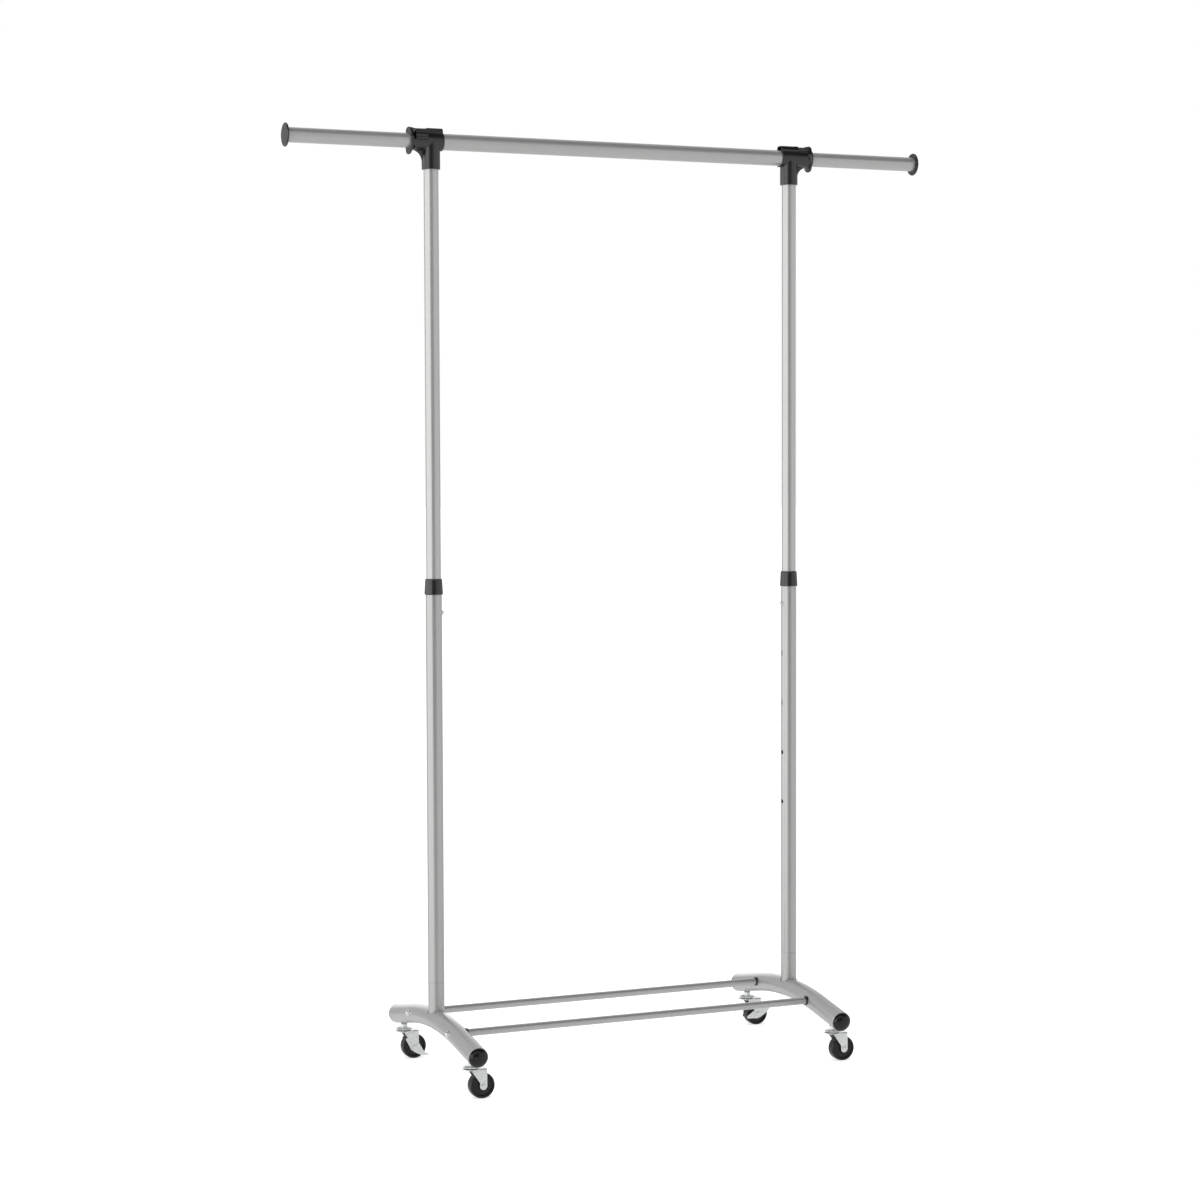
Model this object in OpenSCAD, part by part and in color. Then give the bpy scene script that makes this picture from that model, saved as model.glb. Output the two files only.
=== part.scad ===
// Rolling clothes rack with telescoping posts and a bar that pulls out at both ends.
// X runs along the hanging bar, Y from the front to the back, Z up from the floor.

/* [Overall] */
// Distance between the two posts, axis to axis
post_spacing = 684; // [660:1:760]
// Height of the hanging bar's axis above the floor, upper frame fully raised
bar_height = 1603; // [1560:1:1640]
// Overall length of the hanging bar, both ends pulled out
bar_length = 1200; // [1180:1:1240]
// Depth over the two ends of one foot tube, without the end plugs
foot_depth = 396; // [380:1:440]

/* [Tubes] */
// Outer diameter of the lower posts and of the fixed hanging bar
outer_tube_d = 28; // [27.9:0.05:28.1]
// Outer diameter of the upper posts and of the bar's pull-out ends
inner_tube_d = 25.4; // [25.3:0.05:25.45]
// Outer diameter of the arched foot tubes
foot_tube_d = 34; // [33:0.5:35]
// Outer diameter of the two base rails
rail_d = 12.7; // [12:0.1:14]
// Wall of the foot tubes and the post sockets
heavy_wall = 1.5; // [1.2:0.1:1.8]
// Wall of the upper posts and the pull-out bars
light_wall = 1.2; // [1:0.1:1.3]

/* [Height adjustment] */
// Height of the snap buttons' hole
snap_z = 803; // [790:1:810]
// Distance between the adjustment holes
hole_pitch = 90; // [80:1:92]
// Number of adjustment holes in each lower post
hole_count = 5; // [2:1:5]
// Diameter of the snap buttons' holes
hole_d = 8; // [7.5:0.1:8.4]

/* [Casters] */
// Wheel diameter
wheel_d = 44; // [42:0.5:45]
// Width of the wheel's tread
wheel_w = 17; // [15:0.5:17]
// How far the axle trails behind the swivel's axis
trail = 17; // [16:0.5:18]
// Distance from the middle of the foot to each caster
caster_y = 167; // [160:1:172]
// Angle of the left brake's pedal below level, pressed down
brake_locked_angle = 45; // [42:1:46]
// Angle of the right brake's pedal above level, lifted
brake_free_angle = 15; // [10:1:20]

/* [Hidden] */
$fn = 64;

// Slack that is left where one solid only passes through another
slip = 0.08;
// Slack between pieces that are pushed or screwed together
snug = 0.05;
// Small overrun of a cutting tool past the face that it cuts
over = 1;

post_x = post_spacing / 2;
outer_r = outer_tube_d / 2;
inner_r = inner_tube_d / 2;
guide_r = inner_r + slip;
foot_r = foot_tube_d / 2;
rail_r = rail_d / 2;
hole_r = hole_d / 2;
wheel_r = wheel_d / 2;

// Arched foot: a bend in the middle and a straight stretch to each end
foot_apex_z = 102;
foot_bend_r = 614;
foot_straight_y = 114.4;
foot_slope = asin(foot_straight_y / foot_bend_r);
foot_straight_z = foot_apex_z - foot_bend_r * (1 - cos(foot_slope));
foot_straight_length = (foot_depth / 2 - foot_straight_y) / cos(foot_slope);
foot_lap = 2;
foot_step = 0.05;
foot_plug_dome_r = 18.6;
foot_plug_dome_h = 11;
foot_plug_depth = 15;

// Welded post sockets and the lower posts pushed into them
socket_top_z = 167.3;
swage_depth = 45;
swage_r = outer_r - heavy_wall - 0.1;
lower_post_bottom_z = socket_top_z + 0.2;
lower_post_top_z = 858;
collar_bottom_z = 834.5;
collar_top_z = 861.5;
collar_bottom_r = 16.05;
collar_top_r = 14.6;
upper_post_bottom_z = 560;
upper_post_top_z = bar_height - outer_r - 1;

// Base rails
rail_y = 98;
rail_z = 96;
rail_wall = 1.2;
rail_gap = foot_r + 2.6;
bolt_r = 3;
bolt_head_r = 6.3;
bolt_head_h = 4.6;
bolt_dome_r = 7.5;
ferrule_r = 8;
insert_length = 20;

// Snap buttons and their hairpin springs
snap_reach = 4.3;
snap_dome_r = 5.6;
snap_flange_r = 5.5;
snap_flange_in = 8.6;
snap_flange_out = 9.9;
spring_drop = 46;
spring_strip = 0.8;
spring_width = 6;

// Tee connectors, measured from the crossing of post and bar axes; the outer side is -X
tee_sleeve_r = 16;
tee_outer_x = -41;
tee_inner_x = 19.5;
tee_socket_r = 15.75;
tee_socket_bottom = -47.5;
tee_flange_r = 23.5;
flange_half = 19.5;
flange_lobe_r = 13.5;
flange_lobe_z = 9.8;
ridge_half = 10.5;
ridge_top = 21.8;
ridge_corner = 6;
ridge_back_x = -15;
stop_half = 5;
stop_top = 22.3;
stop_corner = 2;
back_wall = 4.4;
back_wall_top = 18.6;
tunnel_half = 7;
tunnel_bottom = 14.8;
tunnel_top = 20;
bar_stop_x = 2;
pad_outer_x = -32.5;
pad_inner_x = -10.7;
pad_gap = 0.6;
pad_centre_x = (pad_outer_x + pad_inner_x) / 2;
pad_r = 17.2;
pad_y = -2;
pad_z = 4;
pad_inner_r = 16.25;
pad_inner_z = 3.2;
pad_bottom = 1.4;
pad_back = 3;
rib_count = 4;
rib_first = 126;
rib_pitch = 18;
rib_r = 1.1;
rib_sunk = 0.3;
plunger_r = 2.6;
plunger_tip = 14.9;
plunger_top = 19.6;
spring_coil = 1.2;
spring_r = 3.05;
spring_wire_r = 0.3;
tee_screw_z = -36;
tee_screw_r = 1.6;
tee_screw_head_r = 3.6;

// Bar ends
cap_r = 20;
cap_t = 3;
bar_end_x = bar_length / 2;
extension_inner_x = post_x - 60;

// Casters, measured from the swivel axis on the floor
crown_bottom = 49.8;
crown_top = 51.4;
crown_r = 16;
leg_in = 10.5;
leg_out = 12.1;
leg_end_r = 6.5;
leg_back_x = trail + leg_end_r;
kingpin_r = 3;
raceway_z = 54;
raceway_r = 14;
axle_r = 3;
axle_head_r = 4.4;
bush_r = 4.6;
hex_flat = 11;
ball_r = 1.25;
ball_ring_r = 9.5;
ball_count = 14;
stem_r = 3.9;
stem_top_z = 78;
brake_plate_in = 9.05;
brake_plate_out = 10.2;
brake_disc_r = 9.4;

grey = [0.66, 0.67, 0.67];
black = [0.13, 0.13, 0.14];
zinc = [0.82, 0.84, 0.84];

/* ---------- small helpers ---------- */

module tube(r, wall, z0, z1) {
    difference() {
        translate([0, 0, z0]) cylinder(r = r, h = z1 - z0);
        translate([0, 0, z0 - over]) cylinder(r = r - wall, h = z1 - z0 + 2 * over);
    }
}

// A cylinder along X from x0 to x1
module rod_x(r, x0, x1) {
    translate([x0, 0, 0]) rotate([0, 90, 0]) cylinder(r = r, h = x1 - x0);
}

// A cylinder along Y from y0 to y1
module rod_y(r, y0, y1) {
    translate([0, y0, 0]) rotate([-90, 0, 0]) cylinder(r = r, h = y1 - y0);
}

// A turned piece along X, from an outline of radius against position
module turned_x() {
    rotate([0, 90, 0]) rotate_extrude() children();
}

// A flat outline drawn in X and Z, given thickness from y0 to y1
module plate_xz(y0, y1) {
    translate([0, y1, 0]) rotate([90, 0, 0]) linear_extrude(y1 - y0) children();
}

// A flat outline drawn in Y and Z, given thickness from x0 to x1
module plate_yz(x0, x1) {
    translate([x0, 0, 0]) rotate([90, 0, 90]) linear_extrude(x1 - x0) children();
}

/* ---------- base frame ---------- */

// The solid bent bar of radius r along the middle stretch of a foot
module foot_bend(r) {
    translate([0, 0, foot_apex_z - foot_bend_r])
        rotate([90, 0, 90])
            rotate([0, 0, 90 - foot_slope])
                rotate_extrude(angle = 2 * foot_slope, $fn = 256)
                    translate([foot_bend_r, 0]) circle(r = r, $fn = 64);
}

// The whole bar: its straight ends run into the bend, a hair thinner so that no walls coincide
module foot_core(r, extra) {
    foot_bend(r);
    for (way = [0, 1]) mirror([0, way, 0]) at_foot_end(-foot_straight_length - foot_lap)
        cylinder(r = r - foot_step, h = foot_straight_length + foot_lap + extra);
}

// Puts children on the straight end of a foot, +Z along the tube, 0 at its cut end
module at_foot_end(along) {
    translate([0, foot_straight_y, foot_straight_z])
        rotate([-(90 + foot_slope), 0, 0])
            translate([0, 0, foot_straight_length + along]) children();
}

module foot(side) {
    color(grey) translate([side * post_x, 0, 0]) difference() {
        foot_core(foot_r, 0);
        foot_core(foot_r - heavy_wall, over);
        for (way = [-1, 1]) {
            translate([0, way * rail_y, rail_z]) rod_x(bolt_r + 0.2, -foot_r - over, foot_r + over);
            translate([0, way * caster_y, 0]) cylinder(r = 6, h = 80);
        }
    }
}

module foot_plugs(side) {
    color(black) translate([side * post_x, 0, 0])
        for (way = [0, 1]) mirror([0, way, 0]) at_foot_end(0) {
            intersection() {
                translate([0, 0, foot_plug_dome_h - foot_plug_dome_r]) sphere(r = foot_plug_dome_r);
                cylinder(r = foot_r, h = foot_plug_dome_h + over);
            }
            translate([0, 0, -foot_plug_depth])
                cylinder(r = foot_r - heavy_wall - 0.1, h = foot_plug_depth);
        }
}

module post_socket(side) {
    color(grey) translate([side * post_x, 0, 0]) difference() {
        tube(outer_r, heavy_wall, foot_apex_z + 8, socket_top_z);
        foot_bend(foot_r);
    }
}

module base_rail(way) {
    reach = post_x - rail_gap;
    color(grey) translate([0, way * rail_y, rail_z]) difference() {
        rod_x(rail_r, -reach, reach);
        rod_x(rail_r - rail_wall, -reach - over, reach + over);
    }
}

// Puts children on each of the four rails' ends, with +X pointing out through the foot
module at_rail_ends() {
    for (side = [0, 1], way = [0, 1])
        mirror([side, 0, 0]) mirror([0, way, 0]) translate([post_x, rail_y, rail_z]) children();
}

module rail_ferrules() {
    color(black) at_rail_ends() difference() {
        rod_x(ferrule_r, -rail_gap, -foot_r / 2);
        rod_x(bolt_r + 0.2, -rail_gap - over, over);
        translate([0, -rail_y, -rail_z]) foot_bend(foot_r);
    }
}

module rail_inserts() {
    color(zinc) at_rail_ends() difference() {
        rod_x(rail_r - rail_wall, -rail_gap - insert_length, -rail_gap);
        rod_x(bolt_r + snug, -rail_gap - insert_length - over, -rail_gap + over);
    }
}

module rail_bolts() {
    shank_in = -rail_gap - insert_length + 3;
    color(zinc) at_rail_ends() {
        difference() {
            rod_x(bolt_head_r, foot_r / 2, foot_r + 0.4);
            translate([0, -rail_y, -rail_z]) foot_bend(foot_r);
        }
        turned_x() {
            translate([0, shank_in]) square([bolt_r, foot_r + 1 - shank_in]);
            intersection() {
                translate([0, foot_r + bolt_head_h - bolt_dome_r]) circle(r = bolt_dome_r);
                translate([0, foot_r]) square([bolt_head_r - 0.5, bolt_head_h + over]);
            }
        }
    }
}

/* ---------- posts ---------- */

// The inner side of a post faces the other post
module adjustment_holes(side, r) {
    for (i = [0 : hole_count - 1])
        translate([0, 0, snap_z - i * hole_pitch]) rod_x(r, side > 0 ? -outer_r - over : 0,
            side > 0 ? 0 : outer_r + over);
}

module lower_post(side) {
    color(grey) translate([side * post_x, 0, 0]) difference() {
        union() {
            translate([0, 0, lower_post_bottom_z])
                cylinder(r = outer_r, h = lower_post_top_z - lower_post_bottom_z);
            translate([0, 0, lower_post_bottom_z - swage_depth])
                cylinder(r = swage_r, h = swage_depth + over);
        }
        translate([0, 0, lower_post_bottom_z + 6]) cylinder(r = guide_r, h = lower_post_top_z);
        translate([0, 0, lower_post_bottom_z - swage_depth - over])
            cylinder(r = swage_r - light_wall, h = swage_depth + 10);
        adjustment_holes(side, hole_r);
    }
}

module post_collar(side) {
    color(black) translate([side * post_x, 0, 0]) rotate_extrude() polygon([
        [outer_r, collar_bottom_z], [collar_bottom_r - 0.6, collar_bottom_z],
        [collar_bottom_r, collar_bottom_z + 0.6], [collar_top_r, collar_top_z - 0.6],
        [collar_top_r - 0.6, collar_top_z], [guide_r, collar_top_z],
        [guide_r, lower_post_top_z], [outer_r, lower_post_top_z],
    ]);
}

module upper_post(side) {
    color(grey) translate([side * post_x, 0, 0]) difference() {
        tube(inner_r, light_wall, upper_post_bottom_z, upper_post_top_z);
        translate([0, 0, snap_z]) rotate([0, 0, side > 0 ? 180 : 0]) rod_x(hole_r, 0, inner_r + over);
    }
}

module snap_button(side) {
    tip = outer_r + snap_reach;
    stem = hole_r - 0.1;
    color(zinc) translate([side * post_x, 0, snap_z]) rotate([0, 0, side > 0 ? 180 : 0]) {
        turned_x() {
            translate([0, snap_flange_in])
                square([snap_flange_r, snap_flange_out - snap_flange_in]);
            translate([0, snap_flange_in]) square([stem, tip - 2 - snap_flange_in]);
            intersection() {
                translate([0, tip - snap_dome_r]) circle(r = snap_dome_r);
                translate([0, tip - 2.2]) square([stem, 3]);
            }
        }
    }
}

// A hairpin of spring strip whose free leg carries the button
module snap_spring(side) {
    bore = inner_r - light_wall;
    far = sqrt(bore * bore - spring_width * spring_width / 4) - 0.2;
    color(zinc) translate([side * post_x, 0, snap_z]) rotate([0, 0, side > 0 ? 180 : 0])
        plate_xz(-spring_width / 2, spring_width / 2) polygon([
            [snap_flange_in, 5], [snap_flange_in - spring_strip, 5],
            [snap_flange_in - spring_strip, -5], [-0.5, 2 - spring_drop],
            [-1.5, 2 - spring_drop], [-far + spring_strip, 5], [-far, 5], [-far, -4],
            [-2, -spring_drop], [0, -spring_drop], [snap_flange_in, -6],
        ]);
}

/* ---------- hanging bar and tees ---------- */

// Puts a tee's own parts in place: the right one is the left one turned round
module at_tee(side) {
    translate([side * post_x, 0, bar_height]) rotate([0, 0, side > 0 ? 180 : 0]) children();
}

// Puts a tee's screw on its rear side, whichever way the tee is turned
module at_tee_screw(side) {
    translate([0, 0, tee_screw_z]) rotate([0, 0, side > 0 ? 180 : 0]) children();
}

module ridge_outline(half, top, corner) {
    translate([-half, 0]) square([2 * half, top - corner]);
    translate([corner - half, 0]) square([2 * (half - corner), top]);
    for (way = [-1, 1]) translate([way * (half - corner), top - corner]) circle(r = corner);
}

// Tall oval: a round middle, a smaller lobe above and below, and flanks that nearly touch both
module flange_outline() {
    flank_z = (flange_half - flange_lobe_r) / flange_lobe_z;
    flank_y = sqrt(1 - flank_z * flank_z);
    inside = 0.98;
    circle(r = flange_half);
    for (way = [-1, 1]) translate([0, way * flange_lobe_z]) circle(r = flange_lobe_r);
    wide = inside * flange_half;
    narrow = inside * flange_lobe_r;
    for (way = [-1, 1]) polygon([
        [-wide * flank_y, 0], [-wide * flank_y, way * wide * flank_z],
        [-narrow * flank_y, way * (flange_lobe_z + narrow * flank_z)],
        [narrow * flank_y, way * (flange_lobe_z + narrow * flank_z)],
        [wide * flank_y, way * wide * flank_z], [wide * flank_y, 0],
    ]);
}

module tee_flange() {
    intersection() {
        rotate([0, -90, 0]) rotate_extrude() polygon([
            [inner_r + 1, 33], [tee_sleeve_r, 33], [tee_sleeve_r + 1, 35.5], [20.5, 37.6],
            [22.8, 38], [tee_flange_r, 38.8], [tee_flange_r, 40.2], [22.8, 41.2], [21.2, 41.2],
            [18.6, 39.4], [inner_r + 1, 39.4],
        ]);
        plate_yz(tee_outer_x - over, -32) flange_outline();
    }
}

// Hollow ridge on top of the inner half, and the block and the low wall that frame the pad
module tee_ridge() {
    plate_yz(pad_inner_x + pad_gap, tee_inner_x - 1.5)
        ridge_outline(ridge_half, ridge_top, ridge_corner);
    intersection() {
        plate_yz(ridge_back_x, 0) ridge_outline(ridge_half, ridge_top, ridge_corner);
        translate([ridge_back_x - over, pad_back + pad_gap, 0]) cube([20, ridge_half, ridge_top + over]);
    }
    plate_yz(-38, pad_outer_x - pad_gap) ridge_outline(stop_half, stop_top, stop_corner);
    plate_yz(-38, ridge_back_x + over) translate([pad_back + pad_gap, 0])
        square([back_wall, back_wall_top]);
}

module tee_gusset() {
    plate_xz(-2, 2) difference() {
        translate([-33, -34]) square([24, 22]);
        translate([-35, -34]) circle(r = 18.5);
    }
}

module tee(side) {
    color(black) at_tee(side) difference() {
        union() {
            rod_x(tee_sleeve_r, -38, tee_inner_x);
            translate([0, 0, tee_socket_bottom]) cylinder(r = tee_socket_r, h = -tee_socket_bottom);
            tee_flange();
            tee_ridge();
            tee_gusset();
        }
        rod_x(outer_r + snug, -bar_stop_x - snug, tee_inner_x + over);
        rod_x(guide_r, tee_outer_x - 2, 0);
        translate([0, 0, tee_socket_bottom - over])
            cylinder(r = inner_r + snug, h = -tee_socket_bottom);
        translate([-8, -tunnel_half, tunnel_bottom])
            cube([40, 2 * tunnel_half, tunnel_top - tunnel_bottom]);
        translate([pad_centre_x, 0, 8]) cylinder(r = plunger_r + 0.5, h = 12);
        at_tee_screw(side) rod_y(tee_screw_r, 0, tee_socket_r + over);
    }
}

module tee_screws() {
    color(zinc) for (side = [-1, 1]) at_tee(side) at_tee_screw(side) {
        rod_y(tee_screw_r, inner_r, tee_socket_r);
        difference() {
            rod_y(tee_screw_head_r, tee_socket_r - 0.5, tee_socket_r + 2);
            translate([0, 0, -8]) cylinder(r = tee_socket_r, h = 16);
            translate([-0.5, tee_socket_r + 1, -4]) cube([1, 2, 8]);
            translate([-4, tee_socket_r + 1, -0.5]) cube([8, 2, 1]);
        }
    }
}

// Ribbed pad that straddles the tee's outer half, on a short plunger
module release_button(side) {
    color(black) at_tee(side) {
        plate_yz(pad_outer_x, pad_inner_x) intersection() {
            difference() {
                union() {
                    translate([pad_y, pad_z]) circle(r = pad_r);
                    for (i = [0 : rib_count - 1])
                        translate([pad_y, pad_z]) rotate(rib_first + rib_pitch * i)
                            translate([pad_r - rib_sunk, 0]) circle(r = rib_r, $fn = 24);
                }
                translate([pad_y, pad_inner_z]) circle(r = pad_inner_r);
            }
            translate([-30, pad_bottom]) square([30 + pad_back, 30]);
        }
        translate([pad_centre_x, 0, plunger_tip]) cylinder(r = plunger_r, h = plunger_top - plunger_tip);
    }
}

// Flat coils round the plunger, under the pad
module release_spring(side) {
    color(zinc) at_tee(side) for (i = [0, 1])
        translate([pad_centre_x, 0, tee_sleeve_r + 0.45 + spring_coil * i])
            rotate_extrude() translate([spring_r, 0]) circle(r = spring_wire_r);
}

module hanging_bar() {
    reach = post_x + bar_stop_x;
    color(grey) translate([0, 0, bar_height]) difference() {
        rod_x(outer_r, -reach, reach);
        rod_x(guide_r, -reach - over, reach + over);
    }
}

// Mirrors bar-end parts to the side that they belong to; they are drawn on the right
module at_bar_end(side) {
    mirror([side > 0 ? 0 : 1, 0, 0]) translate([0, 0, bar_height]) children();
}

module extension_bar(side) {
    color(grey) at_bar_end(side) difference() {
        rod_x(inner_r, extension_inner_x, bar_end_x - cap_t);
        rod_x(inner_r - light_wall, extension_inner_x - over, bar_end_x);
    }
}

module extension_guide(side) {
    color(black) at_bar_end(side) {
        rod_x(inner_r + 0.04, extension_inner_x - 4, extension_inner_x);
        rod_x(inner_r - light_wall, extension_inner_x, extension_inner_x + 18);
    }
}

module bar_cap(side) {
    color(black) at_bar_end(side) {
        translate([bar_end_x - cap_t, 0, 0]) rotate([0, 90, 0]) rotate_extrude() polygon([
            [0, 0], [cap_r - 0.8, 0], [cap_r, 0.8], [cap_r, cap_t - 1.2],
            [cap_r - 1.2, cap_t], [0, cap_t],
        ]);
        rod_x(inner_r - light_wall, bar_end_x - cap_t - 20, bar_end_x - cap_t);
    }
}

/* ---------- casters ---------- */

// The swivel axes of the casters; all four trail towards +X
module at_caster(side, way) {
    translate([side * post_x, way * caster_y, 0]) children();
}

module at_casters() {
    for (side = [-1, 1], way = [-1, 1]) at_caster(side, way) children();
}

// Threaded bosses welded into the undersides of the feet
module caster_bosses() {
    color(grey) for (side = [-1, 1], way = [0, 1]) translate([side * post_x, 0, 0])
        mirror([0, way, 0]) translate([0, caster_y, 0]) difference() {
            union() {
                difference() {
                    translate([0, 0, 62.3]) cylinder(r1 = 5.8, r2 = 9.4, h = 6);
                    translate([0, -caster_y, 0]) at_foot_end(-60) cylinder(r = foot_r, h = 60);
                }
                translate([0, 0, 62.3]) cylinder(r = 5.8, h = 14);
            }
            cylinder(r = stem_r + snug, h = 100);
        }
}

// Stem, hexagon, upper raceway and kingpin in one turned piece
module caster_stems() {
    color(zinc) at_casters() {
        rotate_extrude() polygon([
            [0, crown_bottom - 3.2], [4, crown_bottom - 3.2], [5, crown_bottom - 2.2],
            [5, crown_bottom - 0.3], [kingpin_r, crown_bottom - 0.3], [kingpin_r, raceway_z],
            [raceway_r - 2.6, raceway_z], [raceway_r - 1.4, raceway_z - 1.2],
            [raceway_r, raceway_z - 1.2], [raceway_r, raceway_z + 0.2],
            [raceway_r - 1.2, raceway_z + 1.2], [6.6, raceway_z + 2.8], [0, raceway_z + 2.8],
        ]);
        translate([0, 0, raceway_z + 2.8])
            cylinder(d = hex_flat / cos(30), h = 62.2 - raceway_z - 2.8, $fn = 6);
        translate([0, 0, 62]) cylinder(r = stem_r, h = stem_top_z - 62);
    }
}

module caster_balls() {
    color(zinc) at_casters() for (i = [0 : ball_count - 1])
        rotate([0, 0, i * 360 / ball_count])
            translate([ball_ring_r, 0, (crown_top + raceway_z) / 2]) sphere(r = ball_r, $fn = 24);
}

module leg_outline() {
    difference() {
        union() {
            translate([trail, wheel_r]) circle(r = leg_end_r);
            polygon([
                [-2.5, crown_bottom + 0.4], [-2.5, crown_bottom - 3.5],
                [trail - leg_end_r + 0.4, wheel_r + 4], [trail - leg_end_r, wheel_r],
                [leg_back_x, wheel_r], [leg_back_x, crown_bottom + 0.4],
            ]);
        }
        translate([trail, wheel_r]) circle(r = axle_r);
    }
}

module fork(side, way) {
    color(zinc) at_caster(side, way) {
        difference() {
            translate([0, 0, crown_bottom]) linear_extrude(crown_top - crown_bottom) union() {
                circle(r = crown_r);
                translate([0, -leg_out]) square([leg_back_x, 2 * leg_out]);
            }
            translate([0, 0, crown_bottom - over]) cylinder(r = kingpin_r + slip, h = 10);
        }
        plate_xz(-leg_out, -leg_in) leg_outline();
        plate_xz(leg_in, leg_out) leg_outline();
    }
}

module axle(side, way) {
    color(zinc) at_caster(side, way) translate([trail, 0, wheel_r]) {
        rod_y(axle_r, -leg_out, leg_out);
        rod_y(axle_head_r, -leg_out - 1.8, -leg_out);
        rod_y(axle_head_r, leg_out, leg_out + 1.8);
    }
}

module wheel(side, way) {
    half = wheel_w / 2;
    color(black) at_caster(side, way) translate([trail, 0, wheel_r]) rotate([90, 0, 0])
        rotate_extrude() polygon([
            [bush_r, -half + 0.8], [bush_r + 3, -half + 0.8], [bush_r + 3.6, -half + 2.2],
            [wheel_r - 5, -half + 2.2], [wheel_r - 4.2, -half], [wheel_r - 1.6, -half],
            [wheel_r - 0.4, -half + 1.2], [wheel_r, -half + 3], [wheel_r, half - 3],
            [wheel_r - 0.4, half - 1.2], [wheel_r - 1.6, half], [wheel_r - 4.2, half],
            [wheel_r - 5, half - 2.2], [bush_r + 3.6, half - 2.2], [bush_r + 3, half - 0.8],
            [bush_r, half - 0.8],
        ]);
}

module hub_bush(side, way) {
    color(zinc) at_caster(side, way) translate([trail, 0, wheel_r]) difference() {
        rod_y(bush_r, -wheel_w / 2 + 0.4, wheel_w / 2 - 0.4);
        rod_y(axle_r + slip, -wheel_w, wheel_w);
    }
}

// Side plate of a brake: an arm towards the pedal on +X and a tail on -X
module brake_outline() {
    difference() {
        union() {
            circle(r = brake_disc_r);
            translate([-20.2, -0.4]) circle(r = 2.6);
            polygon([
                [-20.4, 2.2], [-4, 8.5], [4, 8.5], [18.4, 4.8], [24.4, 3.8], [28.4, 7.4],
                [30.2, 5.8], [24.2, -0.6], [17.8, -4.6], [5, -8], [-4, -8.5], [-20.6, -3],
            ]);
        }
        circle(r = axle_r + slip);
    }
}

module brake(side, way, angle) {
    color(zinc) at_caster(side, way) translate([trail, 0, wheel_r]) rotate([0, -angle, 0]) {
        plate_xz(-brake_plate_out, -brake_plate_in) brake_outline();
        plate_xz(brake_plate_in, brake_plate_out) brake_outline();
        // the pedal bridges the two plates behind the tread
        plate_xz(-brake_plate_in - 0.5, brake_plate_in + 0.5) polygon([
            [23.4, 0.8], [24.4, -0.2], [30.2, 5.8], [29.2, 6.8],
        ]);
    }
}

/* ---------- assembly ---------- */

foot(-1);  // foot_left
foot(1);  // foot_right
foot_plugs(-1);  // foot_plugs_left
foot_plugs(1);  // foot_plugs_right
post_socket(-1);  // post_socket_left
post_socket(1);  // post_socket_right
base_rail(-1);  // base_rail_front
base_rail(1);  // base_rail_rear
rail_ferrules();
rail_inserts();
rail_bolts();
lower_post(-1);  // lower_post_left
lower_post(1);  // lower_post_right
post_collar(-1);  // post_collar_left
post_collar(1);  // post_collar_right
upper_post(-1);  // upper_post_left
upper_post(1);  // upper_post_right
snap_button(-1);  // snap_button_left
snap_button(1);  // snap_button_right
snap_spring(-1);  // snap_spring_left
snap_spring(1);  // snap_spring_right
tee(-1);  // tee_left
tee(1);  // tee_right
tee_screws();
hanging_bar();
extension_bar(-1);  // extension_bar_left
extension_bar(1);  // extension_bar_right
extension_guide(-1);  // extension_guide_left
extension_guide(1);  // extension_guide_right
bar_cap(-1);  // bar_cap_left
bar_cap(1);  // bar_cap_right
release_button(-1);  // release_button_left
release_button(1);  // release_button_right
release_spring(-1);  // release_spring_left
release_spring(1);  // release_spring_right
caster_bosses();
caster_stems();
caster_balls();
fork(-1, -1);  // fork_front_left
axle(-1, -1);  // axle_front_left
wheel(-1, -1);  // wheel_front_left
hub_bush(-1, -1);  // hub_bush_front_left
fork(1, -1);  // fork_front_right
axle(1, -1);  // axle_front_right
wheel(1, -1);  // wheel_front_right
hub_bush(1, -1);  // hub_bush_front_right
fork(-1, 1);  // fork_rear_left
axle(-1, 1);  // axle_rear_left
wheel(-1, 1);  // wheel_rear_left
hub_bush(-1, 1);  // hub_bush_rear_left
brake(-1, 1, -brake_locked_angle);  // brake_rear_left
fork(1, 1);  // fork_rear_right
axle(1, 1);  // axle_rear_right
wheel(1, 1);  // wheel_rear_right
hub_bush(1, 1);  // hub_bush_rear_right
brake(1, 1, brake_free_angle);  // brake_rear_right
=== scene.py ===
import math

import bmesh
import bpy
from mathutils import Matrix, Vector, noise


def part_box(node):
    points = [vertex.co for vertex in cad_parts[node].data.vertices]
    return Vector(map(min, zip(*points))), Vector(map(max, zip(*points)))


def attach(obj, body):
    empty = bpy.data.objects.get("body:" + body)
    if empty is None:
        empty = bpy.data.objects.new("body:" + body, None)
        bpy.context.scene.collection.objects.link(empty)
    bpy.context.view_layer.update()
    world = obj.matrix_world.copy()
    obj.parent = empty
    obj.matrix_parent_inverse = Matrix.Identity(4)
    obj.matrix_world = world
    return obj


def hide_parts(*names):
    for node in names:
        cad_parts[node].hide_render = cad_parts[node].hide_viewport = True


# Rolling clothes rack: the looks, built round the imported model. Metres, +X along the hanging bar,
# +Y to the side with the braked casters, +Z up. MM turns millimetres into metres.

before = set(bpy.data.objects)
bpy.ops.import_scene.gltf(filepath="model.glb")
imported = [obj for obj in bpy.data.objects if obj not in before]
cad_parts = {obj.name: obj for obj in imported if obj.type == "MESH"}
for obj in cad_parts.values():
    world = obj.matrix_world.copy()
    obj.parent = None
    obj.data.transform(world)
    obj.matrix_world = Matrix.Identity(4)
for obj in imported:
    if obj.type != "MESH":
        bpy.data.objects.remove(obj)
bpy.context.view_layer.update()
MM = 0.001


# ---------------------------------------------------------------- places, all from the frame

def middle(node):
    low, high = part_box(node)
    return (low + high) / 2


def reach(node):
    low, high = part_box(node)
    return (high - low) / 2


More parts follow.
